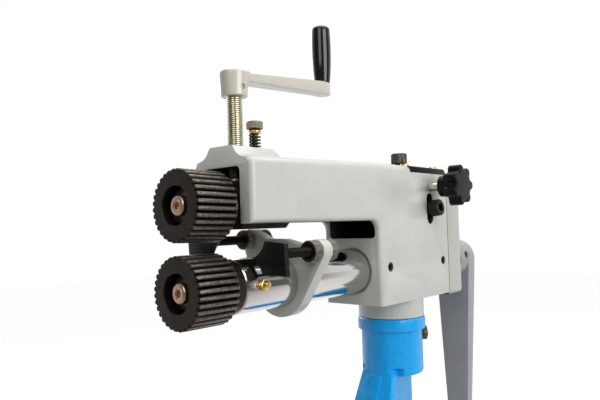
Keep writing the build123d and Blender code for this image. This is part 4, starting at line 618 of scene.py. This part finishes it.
def settle(obj, name, body, finish, replaced=(), angle=SMOOTH_ANGLE):
    """Gives a finished piece its name and finish, and hangs it on its body.

    A piece that spans two bodies gets None as its body. angle is the one under which
    edges are smooth, in degrees.
    """
    only(obj)
    bpy.ops.object.transform_apply(location=True, rotation=True, scale=True)
    bpy.ops.object.shade_smooth_by_angle(angle=radians(angle))
    obj.name = name
    obj.data.name = name
    obj.data.materials.clear()
    obj.data.materials.append(FINISHES[finish])
    if body:
        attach(obj, body)
    if replaced:
        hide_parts(*replaced)
    return obj


def modified(obj, kind, **settings):
    """Adds a modifier with its settings and applies it."""
    only(obj)
    bpy.ops.object.modifier_add(type=kind)
    modifier = obj.modifiers[-1]
    for key, value in settings.items():
        setattr(modifier, key, value)
    bpy.ops.object.modifier_apply(modifier=modifier.name)
    return obj


def softened(node, finish, bevel, segments=2):
    """A copy of a CAD node with merged triangles and edges softened by a bevel in mm."""
    only(NODES[node])
    bpy.ops.object.duplicate()
    obj = bpy.context.active_object
    obj.parent = None
    obj.matrix_world = Matrix.Identity(4)
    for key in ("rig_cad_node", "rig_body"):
        if key in obj:
            del obj[key]
    only(obj)
    bpy.ops.object.mode_set(mode="EDIT")
    bpy.ops.mesh.select_all(action="SELECT")
    bpy.ops.mesh.customdata_custom_splitnormals_clear()
    bpy.ops.mesh.remove_doubles(threshold=0.002 * MM)
    bpy.ops.mesh.dissolve_limited(angle_limit=radians(0.6))
    bpy.ops.object.mode_set(mode="OBJECT")
    modified(
        obj, "BEVEL", width=bevel * MM, segments=segments, limit_method="ANGLE",
        angle_limit=radians(SMOOTH_ANGLE), use_clamp_overlap=True, miter_outer="MITER_ARC",
    )
    return settle(obj, node + "_finish", NODES[node]["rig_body"], finish, [node])


def painted(node, finish):
    """A CAD node that keeps its own shape and gets a finish."""
    NODES[node].data.materials.clear()
    NODES[node].data.materials.append(FINISHES[finish])


def outline(points):
    """An open line through points, drawn by extruding one vertex from point to point."""
    bpy.ops.object.select_all(action="DESELECT")
    bpy.ops.mesh.primitive_plane_add(size=1, location=(0, 0, 0))
    obj = bpy.context.active_object
    bpy.ops.object.mode_set(mode="EDIT")
    bpy.ops.mesh.select_mode(type="VERT")
    bpy.ops.mesh.select_all(action="SELECT")
    bpy.ops.mesh.merge(type="CENTER")
    bpy.ops.transform.translate(value=points[0])
    for start, end in zip(points, points[1:]):
        step = tuple(b - a for a, b in zip(start, end))
        bpy.ops.mesh.extrude_vertices_move(TRANSFORM_OT_translate={"value": step})
    bpy.ops.object.mode_set(mode="OBJECT")
    return obj


def clean(obj):
    """Merges doubles, fills holes and turns all faces outwards."""
    only(obj)
    bpy.ops.object.mode_set(mode="EDIT")
    bpy.ops.mesh.select_all(action="SELECT")
    bpy.ops.mesh.remove_doubles(threshold=0.001 * MM)
    bpy.ops.mesh.fill_holes(sides=0)
    bpy.ops.mesh.select_all(action="SELECT")
    bpy.ops.mesh.normals_make_consistent(inside=False)
    bpy.ops.object.mode_set(mode="OBJECT")
    return obj


def turned(profile, steps=64):
    """A body turned about Z from (radius, height) points in mm."""
    obj = outline([(r * MM, 0, z * MM) for r, z in profile])
    only(obj)
    bpy.ops.object.mode_set(mode="EDIT")
    bpy.ops.mesh.select_all(action="SELECT")
    bpy.ops.mesh.spin(steps=steps, angle=2 * pi, center=(0, 0, 0), axis=(0, 0, 1))
    bpy.ops.object.mode_set(mode="OBJECT")
    return clean(obj)


def thread(radius, pitch, low, high, depth=0.61, steps=24):
    """A screw thread about Z from height low to high, with flat ends; all in mm.

    depth is the thread's depth as a share of its pitch.
    """
    root = radius - depth * pitch
    shape = [(root, 0.0), (radius, 0.42 * pitch), (radius, 0.56 * pitch), (root, pitch)]
    obj = outline([(r * MM, 0, (low - 1.5 * pitch + z) * MM) for r, z in shape])
    turns = int((high - low) / pitch) + 4
    modified(
        obj, "SCREW", axis="Z", angle=2 * pi, screw_offset=pitch * MM, iterations=turns,
        steps=steps, render_steps=steps, use_merge_vertices=True, merge_threshold=0.001 * MM,
    )
    clean(obj)
    bpy.ops.object.mode_set(mode="EDIT")
    for height, up in ((low, -1), (high, 1)):
        bpy.ops.mesh.select_all(action="SELECT")
        bpy.ops.mesh.bisect(
            plane_co=(0, 0, height * MM), plane_no=(0, 0, up), use_fill=True, clear_outer=True,
        )
    bpy.ops.object.mode_set(mode="OBJECT")
    return clean(obj)


def pushed_rings(obj, floor, factors, steps):
    """Scales the points outside a radius in turn round Z, which makes ribs or serrations.

    floor is that radius in mm, factors the scales of one rib and steps the points in a turn.
    """
    for turn, factor in enumerate(factors):
        only(obj)
        bpy.ops.object.mode_set(mode="EDIT")
        bpy.ops.mesh.select_mode(type="VERT")
        bpy.ops.mesh.select_all(action="DESELECT")
        bpy.ops.object.mode_set(mode="OBJECT")
        for vertex in obj.data.vertices:
            place = round(atan2(vertex.co.y, vertex.co.x) / (2 * pi / steps)) % len(factors)
            vertex.select = place == turn and hypot(vertex.co.x, vertex.co.y) > floor * MM
        bpy.ops.object.mode_set(mode="EDIT")
        bpy.ops.transform.resize(value=(factor, factor, 1), center_override=(0, 0, 0))
        bpy.ops.object.mode_set(mode="OBJECT")
    return obj


def socketed(obj, across, depth, top):
    """Cuts a hexagon socket into a screw's head, down from height top; all in mm."""
    bpy.ops.object.select_all(action="DESELECT")
    bpy.ops.mesh.primitive_cylinder_add(
        vertices=6, radius=across / 2 / cos(pi / 6) * MM, depth=2 * depth * MM,
        location=(0, 0, top * MM),
    )
    cutter = bpy.context.active_object
    modified(obj, "BOOLEAN", operation="DIFFERENCE", solver="EXACT", object=cutter)
    only(cutter)
    bpy.ops.object.delete()
    return obj


def cap_screw(length):
    """A socket head screw about Z with a serrated head above 0; length of its shank in mm."""
    steps = 96
    obj = turned([
        (0, -length), (CAP_SHANK, -length), (CAP_SHANK, 0), (CAP_RADIUS - 0.2, 0),
        (CAP_RADIUS, 0.2), (CAP_RADIUS, CAP_HEIGHT - 1.0), (CAP_RADIUS - 0.25, CAP_HEIGHT - 0.45),
        (CAP_RADIUS - 0.8, CAP_HEIGHT), (0, CAP_HEIGHT),
    ], steps)
    pushed_rings(obj, CAP_RADIUS - 0.1, (1.0, 0.972), steps)
    return socketed(obj, CAP_SOCKET, CAP_HEIGHT * 0.55, CAP_HEIGHT)


def knurled(radius, height, count, rows, depth, chamfer=0.5, dish=0.0, bore=0.0):
    """A knurled drum about Z from 0 to height: crossed points round its side; all in mm.

    count is the number of points round it and rows their number along it. dish is the depth
    of the cone in its ends, which narrows to the bore's radius.
    """
    bpy.ops.object.select_all(action="DESELECT")
    body = radius - depth
    end_radius = body - 0.9 * chamfer
    end_inset = 0.22 * radius
    bpy.ops.mesh.primitive_circle_add(vertices=count, radius=body * MM, fill_type="NOTHING")
    obj = bpy.context.active_object
    bpy.ops.object.mode_set(mode="EDIT")
    bpy.ops.mesh.select_all(action="SELECT")
    bpy.ops.transform.translate(value=(0, 0, chamfer * MM))
    rise = (height - 2 * chamfer) / rows
    for row in range(rows):
        bpy.ops.mesh.extrude_region_move(TRANSFORM_OT_translate={"value": (0, 0, rise * MM)})
        turn = pi / count if row % 2 else -pi / count
        bpy.ops.transform.rotate(value=turn, orient_axis="Z", center_override=(0, 0, 0))
    bpy.ops.mesh.select_all(action="SELECT")
    bpy.ops.mesh.normals_make_consistent(inside=False)
    bpy.ops.mesh.poke(offset=depth * MM)
    bpy.ops.object.mode_set(mode="OBJECT")
    for level, shift in ((chamfer, -chamfer), (height - chamfer, chamfer)):
        rim = level * MM
        bpy.ops.object.mode_set(mode="EDIT")
        bpy.ops.mesh.select_all(action="DESELECT")
        bpy.ops.mesh.select_mode(type="EDGE")
        bpy.ops.object.mode_set(mode="OBJECT")
        for edge in obj.data.edges:
            heights = [obj.data.vertices[v].co.z for v in edge.vertices]
            edge.select = all(abs(h - rim) < 0.001 * MM for h in heights)
        bpy.ops.object.mode_set(mode="EDIT")
        bpy.ops.mesh.extrude_edges_move(TRANSFORM_OT_translate={"value": (0, 0, shift * MM)})
        scale = end_radius / body
        bpy.ops.transform.resize(value=(scale, scale, 1))
        bpy.ops.mesh.edge_face_add()
        bpy.ops.mesh.inset(thickness=end_inset * MM, depth=0)
        if dish:
            inwards = (0, 0, (dish if shift < 0 else -dish) * MM)
            bpy.ops.mesh.extrude_region_move(TRANSFORM_OT_translate={"value": inwards})
            narrowing = bore / (end_radius - end_inset)
            bpy.ops.transform.resize(value=(narrowing, narrowing, 1))
        bpy.ops.object.mode_set(mode="OBJECT")
    bpy.ops.object.mode_set(mode="EDIT")
    bpy.ops.mesh.select_mode(type="VERT")
    bpy.ops.object.mode_set(mode="OBJECT")
    return clean(obj)


def cut_above(obj, height):
    """Takes off what lies above a height in metres and closes the cut."""
    only(obj)
    bpy.ops.object.mode_set(mode="EDIT")
    bpy.ops.mesh.select_all(action="SELECT")
    bpy.ops.mesh.bisect(
        plane_co=(0, 0, height), plane_no=(0, 0, 1), use_fill=True, clear_outer=True,
    )
    bpy.ops.object.mode_set(mode="OBJECT")
    return obj


def laid_along(obj, direction, place):
    """Turns a piece made about Z to a direction and moves its foot to a place in metres."""
    obj.rotation_euler = Vector((0, 0, 1)).rotation_difference(Vector(direction)).to_euler()
    obj.location = place
    only(obj)
    bpy.ops.object.transform_apply(location=True, rotation=True, scale=True)
    return obj


def joined(objects):
    """One object made of several."""
    bpy.ops.object.select_all(action="DESELECT")
    for obj in objects:
        obj.select_set(True)
    bpy.context.view_layer.objects.active = objects[0]
    bpy.ops.object.join()
    return bpy.context.active_object


# ---------------------------------------------------------------- pieces
class CRIMPER_OT_castings(bpy.types.Operator):
    """Enamelled castings: body, gear cover, stop bracket, cranks and clamp frame"""

    bl_idname = "crimper.castings"
    bl_label = "Castings"

    def execute(self, context):
        softened("body_casting", "enamel", 0.5)
        softened("gear_cover", "cover", 0.5)
        softened("stop_bracket", "bracket", 1.0, 3)
        softened("feed_crank", "crank", 0.9, 3)
        softened("crank_lever", "lever", 1.4, 3)
        softened("clamp_frame", "clamp", 1.0, 3)
        return {"FINISHED"}


class CRIMPER_OT_rollers(bpy.types.Operator):
    """Ribbed rollers with their washers, bolts and shafts"""

    bl_idname = "crimper.rollers"
    bl_label = "Rollers and spindles"

    def execute(self, context):
        low, high, middle = node_box("lower_roller")
        length = (high.x - low.x) / MM
        profile = [
            (ROLL_BORE, RECESS_DEPTH), (RECESS_RADIUS - 0.3, RECESS_DEPTH),
            (RECESS_RADIUS, RECESS_DEPTH - 0.3), (RECESS_RADIUS, 0.5), (RECESS_RADIUS + 0.5, 0.0),
            (ROLL_RADIUS - 0.8, 0.0), (ROLL_RADIUS - 0.25, 0.5), (ROLL_RADIUS, 1.1),
            (ROLL_RADIUS, length - 1.1), (ROLL_RADIUS - 0.25, length - 0.5),
            (ROLL_RADIUS - 0.8, length), (ROLL_BORE, length), (ROLL_BORE, RECESS_DEPTH),
        ]
        set_back = (low.x - UPPER_POINT.x) / UPPER_DIRECTION.x + UPPER_ROLL_SETBACK * MM
        places = {
            "lower": (Vector((1, 0, 0)), Vector((low.x, 0, LOWER_AXIS.z))),
            "upper": (UPPER_DIRECTION, UPPER_POINT + UPPER_DIRECTION * set_back),
        }
        for level, (direction, place) in places.items():
            roll = turned(profile, ROLL_STEPS)
            pushed_rings(roll, RIB_FLOOR, [r / ROLL_RADIUS for r in RIB_RADII], ROLL_STEPS)
            laid_along(roll, direction, place)
            settle(
                roll, level + "_roller_ribbed", level + "_spindle", level + "_roll",
                [level + "_roller"], 33,
            )
            softened(level + "_roller_bolt", "bronze", 0.2)
            softened(level + "_roller_washer", "washer", 0.25)
            softened(level + "_shaft", "ground", 0.25)
            painted(level + "_spindle_keys", "ground")
            painted(level + "_gear", "dark")
        return {"FINISHED"}


class CRIMPER_OT_tube(bpy.types.Operator):
    """Chromed lower tube with its bushes and grease nipple"""

    bl_idname = "crimper.tube"
    bl_label = "Lower tube"

    def execute(self, context):
        softened("lower_tube", "chrome", 0.3)
        softened("grease_nipple", "brass", 0.15)
        softened("lower_front_bush", "oxide", 0.3)
        painted("lower_rear_bush", "bronze")
        return {"FINISHED"}


class CRIMPER_OT_bearing(bpy.types.Operator):
    """Bearing block of the upper spindle and the pieces inside the arm"""

    bl_idname = "crimper.bearing"
    bl_label = "Bearing block"

    def execute(self, context):
        softened("bearing_block", "oxide", 0.4)
        painted("upper_front_bush", "bronze")
        painted("upper_rear_bush", "bronze")
        painted("upper_thrust_rings", "ground")
        painted("adjuster_sleeve", "dark")
        return {"FINISHED"}


class CRIMPER_OT_feed(bpy.types.Operator):
    """Feed screw with its thread, set screw, thrust button and grip"""

    bl_idname = "crimper.feed"
    bl_label = "Feed screw"

    def execute(self, context):
        sizes = context.scene.crimper_sizes
        low, high, middle = node_box("feed_screw")
        radius = (high.x - low.x) / 2 / MM
        screw = thread(radius, sizes.feed_pitch / MM, 0, (high.z - low.z) / MM - FEED_FOOT)
        laid_along(screw, (0, 0, 1), (middle.x, 0, low.z + FEED_FOOT * MM))
        settle(screw, "feed_screw_thread", "feed_crank", "feed", ["feed_screw"], 30)
        pin = turned([
            (0, 0), (radius - 1.2, 0), (radius - 0.9, 0.4), (radius - 0.9, FEED_FOOT + 0.2),
            (0, FEED_FOOT + 0.2),
        ], 48)
        laid_along(pin, (0, 0, 1), (middle.x, 0, low.z))
        settle(pin, "feed_screw_foot", "feed_crank", "cap")
        softened("feed_crank_screw", "zinc", 0.15)
        painted("feed_thrust_button", "zinc")
        softened("feed_grip", "plastic", 0.3)
        painted("feed_grip_pin", "ground")
        return {"FINISHED"}


class CRIMPER_OT_lifting(bpy.types.Operator):
    """Lifting stud with its spring, collar and knurled nut"""

    bl_idname = "crimper.lifting"
    bl_label = "Lifting stud"

    def execute(self, context):
        sizes = context.scene.crimper_sizes
        self.nut(sizes.knurl_depth / MM)
        self.collar()
        self.stud()
        self.spring(sizes.wire_radius, sizes.spring_turns)
        return {"FINISHED"}

    def nut(self, depth):
        """A drum with a diamond knurl; depth of its points in mm."""
        low, high, middle = node_box("lift_nut")
        nut = knurled((high.x - low.x) / 2 / MM, (high.z - low.z) / MM, 36, 5, depth)
        laid_along(nut, (0, 0, 1), (middle.x, 0, low.z))
        settle(nut, "lift_nut_knurled", "lift_nut", "aged_brass", ["lift_nut"], 20)

    def collar(self):
        """A brass ring with a rounded outside."""
        low, high, middle = node_box("lift_cap")
        collar = turned([
            (COLLAR_BORE, 0), (4.1, 0), (4.4, 0.2), (4.9, 0.9), (5.05, 1.6), (4.9, 2.3),
            (4.4, 2.9), (4.1, COLLAR_HEIGHT), (COLLAR_BORE, COLLAR_HEIGHT), (COLLAR_BORE, 0),
        ], 48)
        laid_along(collar, (0, 0, 1), (middle.x, 0, low.z))
        settle(collar, "lift_collar", "upper_bearing", "brass", ["lift_cap"])

    def stud(self):
        """A stud that narrows inside the spring, so that the coil clears it when it tilts."""
        low, high, middle = node_box("lift_stud")
        length = (high.z - low.z) / MM
        waist_high = length - STUD_WAIST_DROP
        stud = turned([
            (0, 0), (STUD_RADIUS, 0), (STUD_RADIUS, STUD_WAIST_LOW),
            (STUD_WAIST_RADIUS, STUD_WAIST_LOW + 0.8), (STUD_WAIST_RADIUS, waist_high),
            (STUD_RADIUS, waist_high + 0.6), (STUD_RADIUS, length - 0.5),
            (STUD_RADIUS - 0.5, length), (0, length),
        ], 32)
        laid_along(stud, (0, 0, 1), (middle.x, middle.y, low.z))
        settle(stud, "lift_stud_waisted", "upper_bearing", "cap", ["lift_stud"])

    def spring(self, wire, turns):
        """An open coil of round wire between the head and the bearing block."""
        low, high, middle = node_box("lift_spring")
        bpy.ops.object.select_all(action="DESELECT")
        bpy.ops.mesh.primitive_circle_add(
            vertices=14, radius=wire, fill_type="NGON", rotation=(pi / 2, 0, 0),
            location=((high.x - low.x) / 2 - wire, 0, low.z + wire),
        )
        coil = bpy.context.active_object
        bpy.ops.object.transform_apply(location=True, rotation=True, scale=True)
        steps = int(40 * turns)
        modified(
            coil, "SCREW", axis="Z", angle=2 * pi * turns, screw_offset=high.z - low.z - 2 * wire,
            iterations=1, steps=steps, render_steps=steps,
        )
        clean(coil)
        laid_along(coil, (0, 0, 1), (LIFT.x, 0, 0))
        settle(coil, "lift_coil", None, "spring", ["lift_spring"], 60)
        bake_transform(coil)


class CRIMPER_OT_stops(bpy.types.Operator):
    """Stop plates, threaded rods and their knurled nuts"""

    bl_idname = "crimper.stops"
    bl_label = "Sheet stops"

    def execute(self, context):
        sizes = context.scene.crimper_sizes
        for side in ("near", "far"):
            softened(side + "_stop_plate", "plate", 0.3)
            low, high, middle = node_box(side + "_stop_rod")
            radius = (high.y - low.y) / 2 / MM
            rod = thread(radius, sizes.rod_pitch / MM, 0, (high.x - low.x) / MM, steps=20)
            laid_along(rod, (1, 0, 0), (low.x, middle.y, middle.z))
            settle(rod, side + "_rod_thread", side + "_stop", "oxide", [side + "_stop_rod"], 30)
        low, high, middle = node_box("stop_rod_nuts")
        depth = 1.2 * sizes.knurl_depth / MM
        nuts = []
        for rod in ("near_stop_rod", "far_stop_rod"):
            centre = node_box(rod)[2]
            for start in (low.x, high.x - ROD_NUT_LENGTH * MM):
                nut = knurled(
                    ROD_NUT_RADIUS, ROD_NUT_LENGTH, 40, 7, depth, 0.6, ROD_NUT_DISH, ROD_NUT_BORE,
                )
                nuts.append(laid_along(nut, (1, 0, 0), (start, centre.y, centre.z)))
        settle(joined(nuts), "rod_nuts_knurled", "stop_bracket", "knurl", ["stop_rod_nuts"], 20)
        painted("bracket_set_screw", "set_screw")
        return {"FINISHED"}


class CRIMPER_OT_adjuster(bpy.types.Operator):
    """Adjuster screw, star knob and its stud"""

    bl_idname = "crimper.adjuster"
    bl_label = "Adjuster and star knob"

    def execute(self, context):
        outwards = Vector((0, -cos(ADJUSTER_LEAN), sin(ADJUSTER_LEAN)))
        screw = cap_screw(ADJUSTER_LENGTH)
        laid_along(screw, outwards, UPPER_POINT + outwards * ADJUSTER_REACH * MM)
        settle(screw, "adjuster_cap_screw", "adjuster", "oxide", ["adjuster_screw"], 25)
        softened("star_knob", "star", 0.3)
        softened("star_knob_stud", "zinc", 0.2)
        return {"FINISHED"}


class CRIMPER_OT_covers(bpy.types.Operator):
    """Top plate, oil plug and the small screws"""

    bl_idname = "crimper.covers"
    bl_label = "Top plate and screws"

    def execute(self, context):
        softened("top_cover_plate", "plate", 0.3)
        softened("top_cover_screws", "brass", 0.2)
        low, high, middle = node_box("oil_plug_screw")
        screw = cap_screw(OIL_PLUG_LENGTH)
        laid_along(screw, (0, 0, 1), (middle.x, middle.y, high.z - CAP_HEIGHT * MM))
        settle(screw, "oil_plug_cap_screw", "head", "cap", ["oil_plug_screw"], 25)
        softened("oil_plug_nut", "plate", 0.3)
        softened("gear_cover_screws", "zinc", 0.25)
        softened("spindle_set_screws", "set_screw", 0.2)
        softened("lever_set_screw", "set_screw", 0.2)
        return {"FINISHED"}


class CRIMPER_OT_crank(bpy.types.Operator):
    """Grip of the crank lever and its pin"""

    bl_idname = "crimper.crank"
    bl_label = "Crank grip"

    def execute(self, context):
        softened("crank_grip", "plastic", 0.4)
        painted("crank_grip_pin", "ground")
        return {"FINISHED"}


class CRIMPER_OT_clamp(bpy.types.Operator):
    """Clamp screw with its thread, pad, tommy bar and the socket's lock screw"""

    bl_idname = "crimper.clamp"
    bl_label = "Bench clamp"

    def execute(self, context):
        sizes = context.scene.crimper_sizes
        low, high, middle = node_box("clamp_screw")
        head_top = low.z + CLAMP_HEAD * MM
        head = softened("clamp_screw", "zinc", 0.5)
        cut_above(head, head_top + 0.5 * MM)
        length = (high.z - head_top) / MM
        shank = thread(CLAMP_THREAD_RADIUS, sizes.clamp_pitch / MM, 0, length, 0.5, 28)
        laid_along(shank, (0, 0, 1), (middle.x, middle.y, head_top))
        settle(shank, "clamp_screw_thread", "clamp_screw", "zinc", angle=30)
        softened("clamp_pad", "dark", 0.6)
        softened("tommy_bar", "zinc", 0.2)
        softened("socket_lock_screw", "cap", 0.4)
        return {"FINISHED"}


class CRIMPER_OT_studio(bpy.types.Operator):
    """White studio: floor, soft lamps and the camera"""

    bl_idname = "crimper.studio"
    bl_label = "Studio"

    def execute(self, context):
        scene = context.scene
        scene.view_settings.view_transform = "Standard"
        self.world(scene)
        self.floor()
        for name, place, target, size, watts in LAMPS:
            self.lamp(name, place, target, size, watts)
        self.camera(scene)
        return {"FINISHED"}

    def camera(self, scene):
        """The photograph's viewing angle."""
        data = bpy.data.cameras.new("Camera")
        camera = bpy.data.objects.new("Camera", data)
        scene.collection.objects.link(camera)
        data.sensor_width = SENSOR_WIDTH
        data.lens = SENSOR_WIDTH * FOCAL_PIXELS / PHOTO_WIDTH
        data.clip_start = 0.01
        yaw, pitch, roll = CAMERA_YAW, CAMERA_PITCH, CAMERA_ROLL
        ahead = Vector((sin(yaw) * cos(pitch), cos(yaw) * cos(pitch), sin(pitch)))
        level = Vector((cos(yaw), -sin(yaw), 0))
        above = level.cross(ahead)
        right = level * cos(roll) + above * sin(roll)
        up = above * cos(roll) - level * sin(roll)
        turn = Matrix((right, up, -ahead)).transposed()
        camera.matrix_world = Matrix.Translation(CAMERA_PLACE) @ turn.to_4x4()
        scene.camera = camera

    def rays(self, graph):
        """1 for a ray from the camera, and 1 for one from a mirror or glass."""
        camera, glossy, passing = (
            graph.node("LightPath", {}, {}, ray)
            for ray in ("Is Camera Ray", "Is Glossy Ray", "Is Transmission Ray")
        )
        return camera, glossy.most(passing)

    def world(self, scene):
        """White to the camera; mirrors see white ahead and a dim room behind the camera."""
        world = bpy.data.worlds.new("Studio")
        scene.world = world
        world.use_nodes = True
        graph = Graph(world.node_tree)
        camera, mirror = self.rays(graph)
        way = graph.node("TexCoord", {}, {}, "Generated")
        inputs = {0: way, 1: (sin(CAMERA_YAW), cos(CAMERA_YAW), 0)}
        ahead = graph.node("VectorMath", {"operation": "DOT_PRODUCT"}, inputs, "Value")
        mirrored = ahead.step(-0.25, 0.45) * (1 - ROOM_BEHIND_CAMERA) + ROOM_BEHIND_CAMERA
        strength = camera * (1 - ROOM_LIGHT) + mirror * (mirrored - ROOM_LIGHT) + ROOM_LIGHT
        background = world.node_tree.nodes["Background"]
        background.inputs["Color"].default_value = (1.0, 1.0, 1.0, 1.0)
        graph.feed(background.inputs["Strength"], strength)

    def floor(self):
        """A pale floor just below the machine, which keeps the shadow and shows white."""
        bpy.ops.object.select_all(action="DESELECT")
        level = CAD_BOX[0][2] - 2 * MM
        bpy.ops.mesh.primitive_plane_add(size=FLOOR_SIZE, location=(0, 0, level))
        floor = bpy.context.active_object
        floor.name = "Studio_floor"
        s = Shader("White floor")
        camera, mirror = self.rays(s)
        soft = s.noise(0.01, 2.0, 0.5)
        s.finish(Base_Color=s.mix(soft, FLOOR_DARK, FLOOR_LIGHT), Roughness=soft * 0.1 + 0.75)
        beyond = (s.xyz[X] * sin(CAMERA_YAW) + s.xyz[Y] * cos(CAMERA_YAW)).step(-350.0, 150.0)
        mirrored = beyond * FLOOR_MIRROR_FAR + FLOOR_MIRROR_NEAR
        glow = s.node("Emission", {}, {"Strength": camera * FLOOR_GLOW + mirror * mirrored})
        both = s.node("AddShader", {}, {0: Wire(s, s.bsdf.outputs[0]), 1: glow})
        s.feed(s.tree.nodes["Material Output"].inputs["Surface"], both)
        floor.data.materials.append(s.material)

    def lamp(self, name, place, target, size, watts):
        """A square soft lamp turned to its target."""
        data = bpy.data.lights.new(name, "AREA")
        data.size = size
        data.energy = watts
        lamp = bpy.data.objects.new(name, data)
        bpy.context.scene.collection.objects.link(lamp)
        lamp.location = place
        lamp.rotation_euler = (Vector(target) - Vector(place)).to_track_quat("-Z", "Y").to_euler()


class CRIMPER_PT_panel(bpy.types.Panel):
    """Sizes, colours and the steps that build the crimper"""

    bl_idname = "CRIMPER_PT_panel"
    bl_label = "Sheet metal crimper"
    bl_space_type = "VIEW_3D"
    bl_region_type = "UI"
    bl_category = "Crimper"

    def draw(self, context):
        layout = self.layout
        for group in (context.scene.crimper_colours, context.scene.crimper_sizes):
            for key in group.__annotations__:
                layout.prop(group, key)
        for step in STEPS:
            layout.operator(step.bl_idname)


STEPS = (
    CRIMPER_OT_finishes, CRIMPER_OT_castings, CRIMPER_OT_rollers, CRIMPER_OT_tube,
    CRIMPER_OT_bearing, CRIMPER_OT_feed, CRIMPER_OT_lifting, CRIMPER_OT_stops,
    CRIMPER_OT_adjuster, CRIMPER_OT_covers, CRIMPER_OT_crank, CRIMPER_OT_clamp,
    CRIMPER_OT_studio,
)
CLASSES = (CrimperColours, CrimperSizes, *STEPS, CRIMPER_PT_panel)


def register():
    for cls in CLASSES:
        bpy.utils.register_class(cls)
    bpy.types.Scene.crimper_colours = bpy.props.PointerProperty(type=CrimperColours)
    bpy.types.Scene.crimper_sizes = bpy.props.PointerProperty(type=CrimperSizes)


def unregister():
    del bpy.types.Scene.crimper_sizes
    del bpy.types.Scene.crimper_colours
    for cls in reversed(CLASSES):
        bpy.utils.unregister_class(cls)


def main():
    register()
    for step in STEPS:
        area, name = step.bl_idname.split(".")
        getattr(getattr(bpy.ops, area), name)()


if __name__ == "__main__":
    main()
